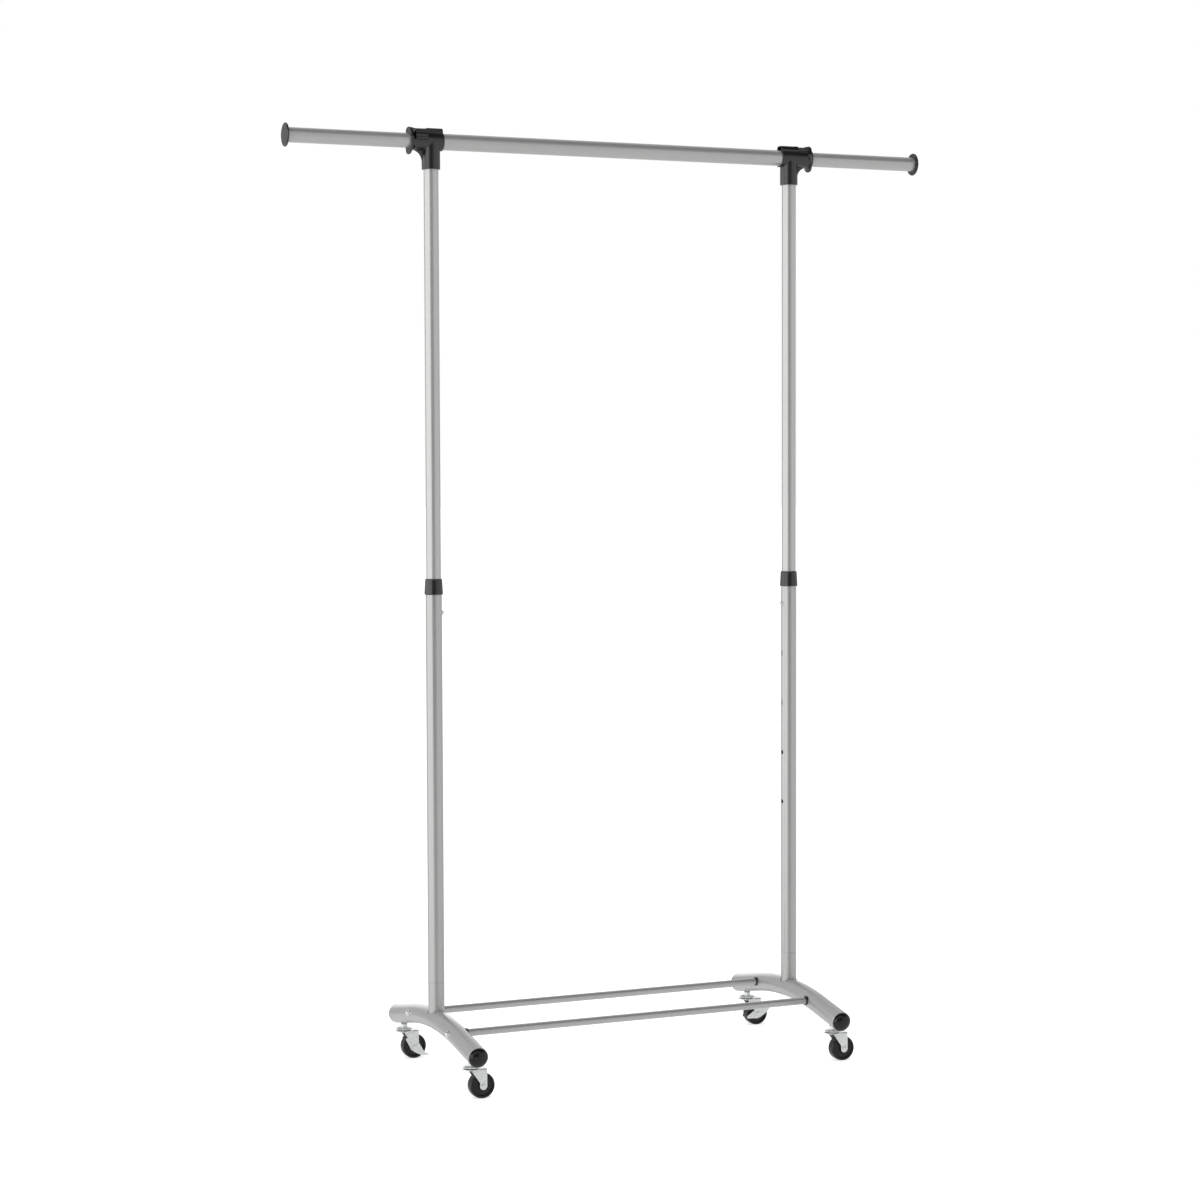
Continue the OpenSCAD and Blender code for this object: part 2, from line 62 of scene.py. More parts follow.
POST_X = middle("upper_post_right").x
BAR_Z = middle("hanging_bar").z
OUTER_R = reach("lower_post_right").y
INNER_R = reach("upper_post_right").y
SIDES = {"left": -1, "right": 1}
CORNERS = {"front_left": (-1, -1), "front_right": (1, -1), "rear_left": (-1, 1), "rear_right": (1, 1)}
CASTER_Y = middle("wheel_rear_right").y
AXLE_Z = middle("wheel_rear_right").z
TRAIL = middle("wheel_rear_right").x - POST_X
LIGHT_WALL = 1.2 * MM
HEAVY_WALL = 1.5 * MM


# ---------------------------------------------------------------- camera, floor and light

CAMERA_PLACE = Vector((-1.9245, -4.2972, 1.0588))
CAMERA_AZIMUTH = math.radians(-23.774)
CAMERA_PITCH = math.radians(2.9376)
CAMERA_ROLL = math.radians(-0.195)
CAMERA_LENS = 80.336


def make_camera():
    data = bpy.data.cameras.new("camera")
    data.lens = CAMERA_LENS
    data.sensor_width = 36
    data.clip_start = 0.1
    data.clip_end = 200
    back = Vector((
        math.sin(CAMERA_AZIMUTH) * math.cos(CAMERA_PITCH),
        -math.cos(CAMERA_AZIMUTH) * math.cos(CAMERA_PITCH),
        math.sin(CAMERA_PITCH),
    ))
    level = Vector((math.cos(CAMERA_AZIMUTH), math.sin(CAMERA_AZIMUTH), 0))
    upright = back.cross(level)
    right = math.cos(CAMERA_ROLL) * level + math.sin(CAMERA_ROLL) * upright
    up = -math.sin(CAMERA_ROLL) * level + math.cos(CAMERA_ROLL) * upright
    turn = Matrix((right, up, back)).transposed()
    camera = bpy.data.objects.new("camera", data)
    camera.matrix_world = Matrix.Translation(CAMERA_PLACE) @ turn.to_4x4()
    bpy.context.scene.collection.objects.link(camera)
    bpy.context.scene.camera = camera


def make_studio():
    """Long soft panels of light at the height of a person, as the world's own light, and a lamp above."""
    world = bpy.data.worlds.new("studio")
    bpy.context.scene.world = world
    world.use_nodes = True
    tree = world.node_tree
    tree.nodes.clear()

    def node(kind, **values):
        made = tree.nodes.new("ShaderNode" + kind)
        for key, value in values.items():
            setattr(made, key, value)
        return made

    def feed(sockets, values):
        for socket, value in zip(sockets, values):
            if isinstance(value, bpy.types.NodeSocket):
                tree.links.new(value, socket)
            else:
                socket.default_value = value

    def math_node(operation, *values):
        made = node("Math", operation=operation)
        feed(made.inputs, values)
        return made.outputs[0]

    def between(share, first, second):
        made = node("Mix", data_type="FLOAT")
        feed((made.inputs[0], made.inputs[2], made.inputs[3]), (share, first, second))
        return made.outputs[0]

    def ramp(source, stops):
        made = node("ValToRGB")
        elements = made.color_ramp.elements
        while len(elements) < len(stops):
            elements.new(0.5)
        for element, (place, level) in zip(elements, stops):
            element.position = place
            element.color = (level, level, level, 1)
        tree.links.new(source, made.inputs[0])
        return made.outputs[0]

    where = node("TexCoord")
    parts = node("SeparateXYZ")
    tree.links.new(where.outputs["Generated"], parts.inputs[0])
    # the direction's turn from the viewer's side, in whole turns: 0 is straight behind the rack
    turn = math_node("ARCTAN2", parts.outputs["X"], math_node("MULTIPLY", parts.outputs["Y"], -1.0))
    turn = math_node("SUBTRACT", turn, CAMERA_AZIMUTH)
    turn = math_node("DIVIDE", turn, 2 * math.pi)
    turn = math_node("WRAP", math_node("ADD", turn, 0.5), 1.0, 0.0)
    height = math_node("MULTIPLY", math_node("ADD", parts.outputs["Z"], 1.0), 0.5)
    # how far the direction points away from the viewer: 0 is towards the viewer, 1 is straight away
    ahead = math_node("MULTIPLY", parts.outputs["X"], -math.sin(CAMERA_AZIMUTH))
    ahead = math_node("ADD", ahead, math_node("MULTIPLY", parts.outputs["Y"], math.cos(CAMERA_AZIMUTH)))
    ahead = math_node("MULTIPLY", math_node("ADD", ahead, 1.0), 0.5)

    overhead = between(ramp(height, OVERHEAD_SHARE), BELOW, ramp(ahead, OVERHEAD))
    level = between(ramp(height, PANEL_SHARE), overhead, ramp(turn, PANELS_AROUND))
    panels = node("Background")
    tree.links.new(level, panels.inputs["Color"])
    panels.inputs["Strength"].default_value = PANEL_STRENGTH
    # what the camera sees behind the rack is the plain pale wall of the studio
    wall = node("Background")
    wall.inputs["Color"].default_value = (1, 1, 1, 1)
    wall.inputs["Strength"].default_value = WALL_STRENGTH
    seen = node("LightPath")
    choose = node("MixShader")
    tree.links.new(seen.outputs["Is Camera Ray"], choose.inputs[0])
    tree.links.new(panels.outputs[0], choose.inputs[1])
    tree.links.new(wall.outputs[0], choose.inputs[2])
    tree.links.new(choose.outputs[0], node("OutputWorld").inputs["Surface"])

    lamp_data = bpy.data.lights.new("ceiling_lamp", "SUN")
    lamp_data.angle = LAMP_SPREAD
    lamp_data.energy = LAMP_POWER
    lamp = bpy.data.objects.new("ceiling_lamp", lamp_data)
    lamp.location = LAMP_PLACE
    lamp.rotation_euler = (LAMP_AIM - LAMP_PLACE).to_track_quat("-Z", "Y").to_euler()
    lamp.visible_glossy = False
    bpy.context.scene.collection.objects.link(lamp)

    bpy.ops.mesh.primitive_circle_add(
        vertices=128, radius=FLOOR_RADIUS, fill_type="NGON", location=(0, 0, 0))
    floor = bpy.context.object
    floor.name = "studio_floor"
    floor.visible_glossy = False
    floor_paint = bpy.data.materials.new("studio_floor")
    floor_paint.use_nodes = True
    shader = floor_paint.node_tree.nodes["Principled BSDF"]
    shader.inputs["Base Color"].default_value = (FLOOR_GREY, FLOOR_GREY, FLOOR_GREY, 1)
    shader.inputs["Roughness"].default_value = 0.9
    shader.inputs["Specular IOR Level"].default_value = 0.0
    shader.inputs["Emission Color"].default_value = (1, 1, 1, 1)
    shader.inputs["Emission Strength"].default_value = FLOOR_GLOW
    floor.data.materials.append(floor_paint)
    bpy.context.scene.view_settings.view_transform = "Standard"


# Brightness round the rack, as (share of a whole turn, level): 0.5 is the viewer's side
PANELS_AROUND = [
    (0.0, 0.9), (0.05, 0.85), (0.09, 0.32), (0.165, 0.32), (0.20, 1.0), (0.44, 1.0), (0.462, 0.09),
    (0.575, 0.09), (0.61, 0.43), (0.84, 0.50), (0.88, 0.28), (0.96, 0.28), (1.0, 0.9),
]
# How much of that shows, from straight down to straight up
PANEL_SHARE = [(0.0, 0.0), (0.38, 0.0), (0.43, 1.0), (0.66, 1.0), (0.73, 0.0)]
# Brightness from below, and overhead from the viewer's side to the far side
BELOW = 0.46
OVERHEAD_SHARE = [(0.0, 0.0), (0.45, 0.0), (0.60, 1.0), (1.0, 1.0)]
OVERHEAD = [(0.0, 0.50), (0.12, 0.50), (0.30, 0.04), (0.62, 0.04), (0.68, 0.34), (1.0, 0.40)]
PANEL_STRENGTH = 1.5
WALL_STRENGTH = 1.0
LAMP_POWER = 1.3
LAMP_PLACE = Vector((-0.6, -1.2, 4.2))
LAMP_AIM = Vector((0, 0, 0.6))
LAMP_SPREAD = math.radians(70)
FLOOR_GLOW = 0.6
FLOOR_GREY = 0.86
FLOOR_RADIUS = 60

make_camera()
make_studio()


# ---------------------------------------------------------------- materials

NOISE_ROUGHNESS = 0.55


class Finish:
    """A node-built material: a Principled shader and the nodes that vary it over the surface."""

    def __init__(self, name, colour, metallic, roughness):
        self.material = bpy.data.materials.new(name)
        self.material.use_nodes = True
        self.tree = self.material.node_tree
        self.shader = self.tree.nodes["Principled BSDF"]
        self.shader.inputs["Metallic"].default_value = metallic
        self.shader.inputs["Roughness"].default_value = roughness
        self.colour = (*colour, 1)
        self.shader.inputs["Base Color"].default_value = self.colour
        self.where = self.tree.nodes.new("ShaderNodeTexCoord").outputs["Object"]
        self.height = None

    def link(self, a, b):
        self.tree.links.new(a, b)

    def stretched(self, scale):
        mapping = self.tree.nodes.new("ShaderNodeMapping")
        mapping.inputs["Scale"].default_value = scale
        self.link(self.where, mapping.inputs["Vector"])
        return mapping.outputs[0]

    def noise(self, scale, detail, stretch=(1, 1, 1)):
        node = self.tree.nodes.new("ShaderNodeTexNoise")
        node.inputs["Scale"].default_value = scale
        node.inputs["Detail"].default_value = detail
        node.inputs["Roughness"].default_value = NOISE_ROUGHNESS
        self.link(self.stretched(stretch), node.inputs["Vector"])
        return node.outputs["Fac"]

    def cells(self, scale):
        node = self.tree.nodes.new("ShaderNodeTexVoronoi")
        node.inputs["Scale"].default_value = scale
        self.link(self.stretched((1, 1, 1)), node.inputs["Vector"])
        return node.outputs["Color"]

    def ranged(self, source, low, high, start=0.3, end=0.7):
        node = self.tree.nodes.new("ShaderNodeMapRange")
        for name, value in (("From Min", start), ("From Max", end), ("To Min", low), ("To Max", high)):
            node.inputs[name].default_value = value
        self.link(source, node.inputs["Value"])
        return node.outputs[0]

    def tinted(self, other, share):
        """The colour so far, taken towards another one by share."""
        node = self.tree.nodes.new("ShaderNodeMix")
        node.data_type = "RGBA"
        base = self.shader.inputs["Base Color"]
        if base.is_linked:
            self.link(base.links[0].from_socket, node.inputs[6])
        else:
            node.inputs[6].default_value = self.colour
        node.inputs[7].default_value = (*other, 1)
        self.link(share, node.inputs[0])
        self.link(node.outputs[2], base)

    def rough(self, source):
        self.link(source, self.shader.inputs["Roughness"])

    def bumped(self, source, strength, distance):
        node = self.tree.nodes.new("ShaderNodeBump")
        node.inputs["Strength"].default_value = strength
        node.inputs["Distance"].default_value = distance
        self.link(source, node.inputs["Height"])
        if self.height is not None:
            self.link(self.height, node.inputs["Normal"])
        self.height = node.outputs[0]
        self.link(self.height, self.shader.inputs["Normal"])


def silver_paint(name, colour, flow):
    """Satin silver paint on drawn tube: metallic flake, long faint draw marks, a little orange peel."""
    paint = Finish(name, colour, 0.6, 0.26)
    darker = tuple(c * 0.80 for c in colour)
    lighter = tuple(min(1, c * 1.12) for c in colour)
    paint.tinted(lighter, paint.ranged(paint.cells(2600), 0.0, 0.14, 0.75, 1.0))
    paint.tinted(darker, paint.ranged(paint.noise(9, 4), 0.0, 0.12))
    paint.tinted(darker, paint.ranged(paint.noise(60, 2, flow), 0.0, 0.10, 0.45, 0.75))
    paint.rough(paint.ranged(paint.noise(38, 3), 0.21, 0.26))
    paint.bumped(paint.noise(420, 2), 0.03, 0.00005)
    paint.bumped(paint.noise(130, 1, flow), 0.04, 0.0001)
    paint.shader.inputs["Coat Weight"].default_value = 0.25
    paint.shader.inputs["Coat Roughness"].default_value = 0.18
    return paint.material


def weld_paint():
    """The same paint run over a weld bead, with bright specks of painted glint and dark patches of painted
    shade.
    """
    paint = Finish("weld_paint", PAINT_LOW, 0.75, 0.3)
    # painted shade: dark patches in the colour, standing in for shade in the bead's pits
    paint.tinted((0.30, 0.30, 0.30), paint.ranged(paint.noise(520, 4), 0.0, 0.75, 0.5, 0.72))
    # painted glints: bright specks in the colour, standing in for highlights on the bead
    paint.tinted((0.85, 0.85, 0.84), paint.ranged(paint.cells(700), 0.0, 0.6, 0.8, 1.0))
    paint.rough(paint.ranged(paint.noise(300, 3), 0.2, 0.5))
    paint.bumped(paint.noise(600, 4), 0.5, 0.0005)
    return paint.material


def moulded_plastic(name, colour, roughness, sheen_colour, ior=1.75):
    """Moulded black plastic: spark-eroded grain, faint flow marks and lighter patches of painted sheen."""
    plastic = Finish(name, colour, 0.0, roughness)
    # painted sheen: lighter patches at random, put into the colour
    plastic.tinted(sheen_colour, plastic.ranged(plastic.noise(45, 4), 0.0, 0.5))
    plastic.tinted(tuple(c * 0.6 for c in colour), plastic.ranged(plastic.noise(300, 2), 0.0, 0.5))
    plastic.rough(plastic.ranged(plastic.noise(70, 3), roughness - 0.05, roughness + 0.05))
    plastic.bumped(plastic.noise(2200, 3), 0.10, 0.00012)
    plastic.bumped(plastic.noise(90, 2), 0.04, 0.0003)
    plastic.shader.inputs["IOR"].default_value = ior
    return plastic.material


def zinc_plate(name, colour, roughness):
    """Bright zinc plating: cool, cloudy, with fine scuffs and a faint blue passivation."""
    plate = Finish(name, colour, 0.82, roughness)
    plate.tinted((0.66, 0.73, 0.76), plate.ranged(plate.noise(110, 4), 0.0, 0.40, 0.42, 0.72))
    plate.tinted((0.83, 0.82, 0.74), plate.ranged(plate.noise(65, 3), 0.0, 0.30, 0.5, 0.8))
    plate.tinted((0.45, 0.47, 0.48), plate.ranged(plate.noise(420, 5, (1, 1, 5)), 0.0, 0.35, 0.58, 0.80))
    plate.rough(plate.ranged(plate.noise(180, 4), roughness - 0.08, roughness + 0.12))
    plate.bumped(plate.noise(900, 4, (1, 1, 4)), 0.12, 0.0001)
    plate.bumped(plate.noise(140, 2), 0.06, 0.0003)
    return plate.material


def wheel_plastic():
    """Hard glossy wheel with floor dust on the tread and a few fine scratches."""
    wheel = Finish("wheel_plastic", (0.004, 0.003, 0.003), 0.0, 0.24)
    wheel.tinted((0.030, 0.028, 0.026), wheel.ranged(wheel.noise(160, 5), 0.0, 0.5, 0.45, 0.8))
    wheel.rough(wheel.ranged(wheel.noise(240, 4), 0.18, 0.36))
    wheel.bumped(wheel.noise(800, 3, (1, 6, 1)), 0.08, 0.0001)
    wheel.shader.inputs["IOR"].default_value = 1.42
    wheel.shader.inputs["Coat Weight"].default_value = 0.15
    wheel.shader.inputs["Coat Roughness"].default_value = 0.12
    return wheel.material


PAINT_LOW = (0.49, 0.49, 0.485)
PAINT_HIGH = (0.54, 0.54, 0.535)
UP_FLOW = (1, 1, 0.02)
BAR_FLOW = (0.02, 1, 1)
FOOT_FLOW = (1, 0.03, 1)
FINISHES = {
    "post_paint": silver_paint("post_paint", PAINT_LOW, UP_FLOW),
    "upper_paint": silver_paint("upper_paint", PAINT_HIGH, UP_FLOW),
    "bar_paint": silver_paint("bar_paint", PAINT_LOW, BAR_FLOW),
    "foot_paint": silver_paint("foot_paint", PAINT_HIGH, FOOT_FLOW),
    "weld_paint": weld_paint(),
    "black_plastic": moulded_plastic("black_plastic", (0.007, 0.006, 0.006), 0.23, (0.011, 0.010, 0.009)),
    "gloss_plastic": moulded_plastic(
        "gloss_plastic", (0.004, 0.003, 0.003), 0.16, (0.008, 0.007, 0.006), ior=1.5),
    "wheel_plastic": wheel_plastic(),
    "zinc": zinc_plate("zinc", (0.86, 0.88, 0.87), 0.26),
    "spring_steel": zinc_plate("spring_steel", (0.50, 0.50, 0.50), 0.30),
}


# ---------------------------------------------------------------- mesh tools

def rounded(corners, closed=True, steps=5):
    """An outline in a plane whose corners, given as (x, y, radius), are turned into arcs."""
    points = []
    count = len(corners)
    for i, (x, y, radius) in enumerate(corners):
        here = Vector((x, y))
        if radius == 0 or (not closed and i in (0, count - 1)):
            points.append(here)
            continue
        before = Vector(corners[i - 1][:2]) - here
        after = Vector(corners[(i + 1) % count][:2]) - here
        half = before.angle(after) / 2
        length = min(radius / math.tan(half), 0.49 * before.length, 0.49 * after.length)
        size = length * math.tan(half)
        centre = here + (before.normalized() + after.normalized()).normalized() * size / math.sin(half)
        start = here + before.normalized() * length - centre
        end = here + after.normalized() * length - centre
        sweep = start.angle_signed(end)
        for k in range(steps + 1):
            points.append(centre + Matrix.Rotation(-sweep * k / steps, 2) @ start)
    return points


def arc(cx, cy, radius, first, last, steps):
    """Points of an arc from one angle to another, in degrees, as corners with no rounding."""
    angles = [math.radians(first + (last - first) * k / steps) for k in range(steps + 1)]
    return [(cx + radius * math.cos(a), cy + radius * math.sin(a), 0) for a in angles]


def mm(points):
    """Points given in millimetres, turned into metres."""
    return [tuple(c * MM for c in p) for p in points]


def hexagon(corner):
    """Corners of a hexagon, the first one on +X."""
    angles = [math.radians(a) for a in range(0, 360, 60)]
    return [(corner * math.cos(a), corner * math.sin(a)) for a in angles]


def level_ring(bm, radius, height, steps):
    angles = [2 * math.pi * k / steps for k in range(steps)]
    return [bm.verts.new((radius * math.cos(a), radius * math.sin(a), height)) for a in angles]


def band(bm, one, two):
    """Faces between two closed rings that have as many vertices."""
    for k in range(len(one)):
        after = (k + 1) % len(one)
        bm.faces.new((one[k], one[after], two[after], two[k]))


def straightened(bm):
    """Every face turned to look outwards."""
    bmesh.ops.recalc_face_normals(bm, faces=bm.faces)
    return bm


def lathe(outline, around, closed=True):
    """A turned form about Z, from an outline of (radius, height) points."""
    on_axis = 1e-7
    bm = bmesh.new()
    rings = []
    for radius, height in outline:
        if radius < on_axis:
            rings.append([bm.verts.new((0, 0, height))])
        else:
            rings.append(level_ring(bm, radius, height, around))
    pairs = list(zip(rings, rings[1:]))
    if closed:
        pairs.append((rings[-1], rings[0]))
    for low, high in pairs:
        for k in range(around):
            after = k + 1
            quad = [low[k % len(low)], low[after % len(low)], high[after % len(high)], high[k % len(high)]]
            corners = list(dict.fromkeys(quad))
            if len(corners) > 2:
                bm.faces.new(corners)
    return straightened(bm)


def turned_form(corners, around, steps=4, closed=False):
    """A turned form about Z, from corners in millimetres, given as (radius, height, rounding)."""
    return lathe(rounded(mm(corners), closed=closed, steps=steps), around, closed=closed)


def rod(radius, low, high, around=96):
    """A plain cylinder about Z, in millimetres."""
    return lathe(mm([(0, low), (radius, low), (radius, high), (0, high)]), around, closed=False)


def plain_tube(outer, wall, low, high, around, ease=0.3 * MM):
    """A tube about Z with eased ends."""
    inner = outer - wall
    section = [(inner, low, ease), (outer, low, ease), (outer, high, ease), (inner, high, ease)]
    return lathe(rounded(section, steps=3), around)


def prism(outline, low, high):
    """A flat outline, drawn in X and Y, given height from low to high."""
    bm = bmesh.new()
    bottom = bm.faces.new([bm.verts.new((p[0], p[1], low)) for p in outline])
    lifted = bmesh.ops.extrude_face_region(bm, geom=[bottom])["geom"]
    for v in lifted:
        if isinstance(v, bmesh.types.BMVert):
            v.co.z = high
    return straightened(bm)


def bar_stock(corners, low, high, stand, steps=5):
    """A prism from corners in millimetres, given as (x, y, rounding), stood up by the turn in stand."""
    return moved(prism(rounded(mm(corners), steps=steps), low * MM, high * MM), stand)


def bevelled(bm, width, angle=60):
    """Rounds every edge that turns by more than angle, in degrees."""
    edges = [e for e in bm.edges if e.is_manifold and e.calc_face_angle() > math.radians(angle)]
    bmesh.ops.bevel(
        bm, geom=edges, offset=width, segments=2, profile=0.5, affect="EDGES", clamp_overlap=True)
    return bm


ALONG_X = Matrix.Rotation(math.radians(90), 4, "Y")
ALONG_Y = Matrix.Rotation(math.radians(-90), 4, "X")
# outlines drawn in X and Z, or in Y and Z
STAND_XZ = Matrix.Rotation(math.radians(90), 4, "X")
STAND_YZ = Matrix(((0, 0, 1, 0), (1, 0, 0, 0), (0, 1, 0, 0), (0, 0, 0, 1)))


def moved(bm, *turns):
    for turn in turns:
        bmesh.ops.transform(bm, matrix=turn, verts=bm.verts)
    return bm


def shifted(x, y, z):
    return Matrix.Translation((x, y, z))


def joined(*parts):
    """One mesh out of several."""
    bm = bmesh.new()
    for part in parts:
        part_mesh = bpy.data.meshes.new("part")
        part.to_mesh(part_mesh)
        bm.from_mesh(part_mesh)
        bpy.data.meshes.remove(part_mesh)
        part.free()
    return bm


def loose_object(bm):
    mesh = bpy.data.meshes.new("work")
    bm.to_mesh(mesh)
    bm.free()
    made = bpy.data.objects.new("work", mesh)
    bpy.context.scene.collection.objects.link(made)
    return made


def baked_down(thing):
    """The mesh of a work object with its modifiers applied, as a new bmesh."""
    graph = bpy.context.evaluated_depsgraph_get()
    final = bpy.data.meshes.new_from_object(thing.evaluated_get(graph))
    bm = bmesh.new()
    bm.from_mesh(final)
    bpy.data.meshes.remove(final)
    bpy.data.objects.remove(thing)
    return bm


def combined(base, other, operation):
    """Solid union, difference or intersection of two meshes."""
    body = loose_object(base)
    tool = loose_object(other)
    cut = body.modifiers.new("cut", "BOOLEAN")
    cut.operation = operation
    cut.solver = "EXACT"
    cut.use_self = True
    cut.object = tool
    bm = baked_down(body)
    bpy.data.objects.remove(tool)
    return bm


def softened(bm, voxel, passes, keep):
    """Melts a solid's joints and edges together, as a moulding or a stamping has them."""
    body = loose_object(bm)
    remesh = body.modifiers.new("remesh", "REMESH")
    remesh.mode = "VOXEL"
    remesh.voxel_size = voxel
    smooth = body.modifiers.new("smooth", "SMOOTH")
    smooth.factor = 0.5
    smooth.iterations = passes
    lean = body.modifiers.new("lean", "DECIMATE")
    lean.ratio = keep
    return baked_down(body)


def finished_mesh(bm, name, sharp=38):
    """Smooth faces with the edges kept sharp that turn by more than sharp degrees."""
    for face in bm.faces:
        face.smooth = True
    for edge in bm.edges:
        edge.smooth = not (edge.is_manifold and edge.calc_face_angle(0) > math.radians(sharp))
    mesh = bpy.data.meshes.new(name)
    bm.to_mesh(mesh)
    bm.free()
    return mesh


def piece(name, mesh, finish, body, replaces=(), place=None):
    """A visible piece that rides on a body: mesh is a bmesh or a finished mesh that copies share."""
    if isinstance(mesh, bmesh.types.BMesh):
        mesh = finished_mesh(mesh, name)
    made = bpy.data.objects.new(name, mesh)
    bpy.context.scene.collection.objects.link(made)
    if place is not None:
        made.matrix_world = place
    if not mesh.materials:
        mesh.materials.append(FINISHES[finish])
    even = made.modifiers.new("even_shading", "WEIGHTED_NORMAL")
    even.keep_sharp = True
    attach(made, body)
    if replaces:
        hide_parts(*replaces)
    return made


# ---------------------------------------------------------------- tubes with holes

RIM_EASE = 0.25 * MM


def holed_tube(outer, wall, low, high, holes, hole_r, columns=72):
    """A tube about Z with round holes through its wall on the +X side, at the heights in holes."""
    span = 5  # columns and rows on each side of a hole that its patch takes up
    step = 1.35 * MM
    rows = [low]
    for z in sorted(holes):
        rows += [z + step * k for k in range(-span, span + 1)]
    rows.append(high)
    taken = {}
    for i, z in enumerate(rows[:-1]):
        for hole in holes:
            if hole - step * span - 1e-6 < z < hole + step * span - 1e-6:
                taken[i] = hole
    bm = bmesh.new()
    skins = []
    for radius in (outer, outer - wall):
        grid = [level_ring(bm, radius, z, columns) for z in rows]
        for i in range(len(rows) - 1):
            for k in range(columns):
                near = k < span or k >= columns - span
                if i in taken and near:
                    continue
                after = (k + 1) % columns
                bm.faces.new((grid[i][k], grid[i][after], grid[i + 1][after], grid[i + 1][k]))
        rims = []
        for hole in holes:
            first = min(i for i in taken if taken[i] == hole)
            last = first + 2 * span
            edge = [grid[first][k % columns] for k in range(-span, span)]
            edge += [grid[i][span] for i in range(first, last)]
            edge += [grid[last][k % columns] for k in range(span, -span, -1)]
            edge += [grid[i][-span] for i in range(last, first, -1)]
            rings = [edge]
            for share in (0.35, 0.7, 0.9, 1.0):
                ring = []
                for v in edge:
                    y, z = v.co.y, v.co.z - hole
                    angle = math.atan2(z, y)
                    y += (hole_r * math.cos(angle) - y) * share
                    z += (hole_r * math.sin(angle) - z) * share
                    sunk = RIM_EASE * (1 if radius == outer else -1) if share == 1.0 else 0
                    ring.append(bm.verts.new((math.sqrt(radius ** 2 - y ** 2) - sunk, y, hole + z)))
                rings.append(ring)
            for big, small in zip(rings, rings[1:]):
                band(bm, big, small)
            rims.append(rings[-1])
        skins.append((grid, rims))
    for place in (0, -1):
        band(bm, skins[0][0][place], skins[1][0][place])
    for outside, inside in zip(skins[0][1], skins[1][1]):
        band(bm, outside, inside)
    return straightened(bm)


# ---------------------------------------------------------------- feet

FOOT_R = 17 * MM
FOOT_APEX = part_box("foot_right")[1].z - FOOT_R
FOOT_BEND = 614 * MM
FOOT_END_LEAN = math.radians(10.74)
FOOT_HALF = reach("foot_right").y - FOOT_R * math.sin(FOOT_END_LEAN)
# the tube is bent up to this far from its middle, and straight beyond
FOOT_FLAT_Y = 114.4 * MM
FOOT_SLOPE = math.asin(FOOT_FLAT_Y / FOOT_BEND)


def foot_line(y):
    """Height of the foot tube's axis at y."""
    if abs(y) <= FOOT_FLAT_Y:
        return FOOT_APEX - FOOT_BEND + math.sqrt(FOOT_BEND ** 2 - y ** 2)
    drop = FOOT_BEND * (1 - math.cos(FOOT_SLOPE))
    return FOOT_APEX - drop - (abs(y) - FOOT_FLAT_Y) * math.tan(FOOT_SLOPE)


def foot_angle(y):
    """How far the foot tube's axis falls below level at y, as seen walking towards +Y."""
    if abs(y) <= FOOT_FLAT_Y:
        return math.asin(y / FOOT_BEND)
    return math.copysign(FOOT_SLOPE, y)


def foot_tube():
    """The arched tube in its own middle plane, open at both ends."""
    stations = 96
    around = 64
    bm = bmesh.new()
    skins = []
    for radius in (FOOT_R, FOOT_R - HEAVY_WALL):
        rings = []
        for i in range(stations + 1):
            y = FOOT_HALF * (2 * i / stations - 1)
            fall = foot_angle(y)
            up = Vector((0, math.sin(fall), math.cos(fall)))
            centre = Vector((0, y, foot_line(y)))
            # the outer skin's end rings are eased, as a cut and tumbled tube has them
            size = radius - (RIM_EASE if i in (0, stations) and radius == FOOT_R else 0)
            ring = []
            for k in range(around):
                a = 2 * math.pi * k / around
                spoke = math.cos(a) * Vector((1, 0, 0)) + math.sin(a) * up
                ring.append(bm.verts.new(centre + size * spoke))
            rings.append(ring)
        for one, two in zip(rings, rings[1:]):
            band(bm, one, two)
        skins.append(rings)
    for place in (0, -1):
        band(bm, skins[0][place], skins[1][place])
    return straightened(bm)


def at_foot_end(way):
    """Puts +Z along the foot tube at its cut end, pointing outwards."""
    y = way * FOOT_HALF
    tilt = -way * (math.radians(90) + FOOT_SLOPE)
    return shifted(0, y, foot_line(y)) @ Matrix.Rotation(tilt, 4, "X")


def foot_plug():
    """Domed plug about Z, with a lip that covers the tube's cut end at z = 0."""
    lip_r, lip_top, dome = 16.8, 1.3, 9.4
    section = [(0, -15), (14.0, -15), (15.3, -13.5), (15.3, -0.05), (16.7, -0.05), (16.95, 0.35)]
    angles = [math.radians(7.5 * k) for k in range(1, 12)]
    crown = [(lip_r * math.cos(a), lip_top + dome * math.sin(a)) for a in angles]
    outline = section + [(lip_r, lip_top)] + crown + [(0, lip_top + dome)]
    return lathe(mm(outline), 64, closed=False)


def weld_bead(seed):
    """A bead laid round a post socket where it sits on the foot: scalloped, with lumps."""
    steps = 220
    steps_per_scallop = 5.5
    around = 12
    radius = OUTER_R + 0.5 * MM
    bm = bmesh.new()
    rings = []
    for i in range(steps):
        a = 2 * math.pi * i / steps
        x, y = radius * math.cos(a), radius * math.sin(a)
        z = foot_line(y) + math.sqrt(max((FOOT_R + 0.3 * MM) ** 2 - x ** 2, 0))
        outward = Vector((math.cos(a), math.sin(a), 0))
        slope = Vector((x, 0, math.sqrt(max(FOOT_R ** 2 - x ** 2, 0)))).normalized()
        lean = (outward * 0.9 + slope * 0.35).normalized()
        scallop = 0.22 * abs(math.sin(i * math.pi / steps_per_scallop))
        lump = noise.noise(Vector((math.cos(a) * 4, math.sin(a) * 4, seed))) * 0.55
        size = (1.55 + scallop + lump) * MM
        along = Vector((-math.sin(a), math.cos(a), 0))
        upward = along.cross(lean) * -1
        ring = []
        for k in range(around):
            b = 2 * math.pi * k / around
            offset = lean * math.cos(b) * size + upward * math.sin(b) * size
            grain = noise.noise(Vector((x, y, b * MM)) * 900) * 0.14 * MM
            ring.append(bm.verts.new(Vector((x, y, z)) + offset * (1 + grain / size)))
        rings.append(ring)
    for one, two in zip(rings, rings[1:] + rings[:1]):
        band(bm, one, two)
    return straightened(bm)


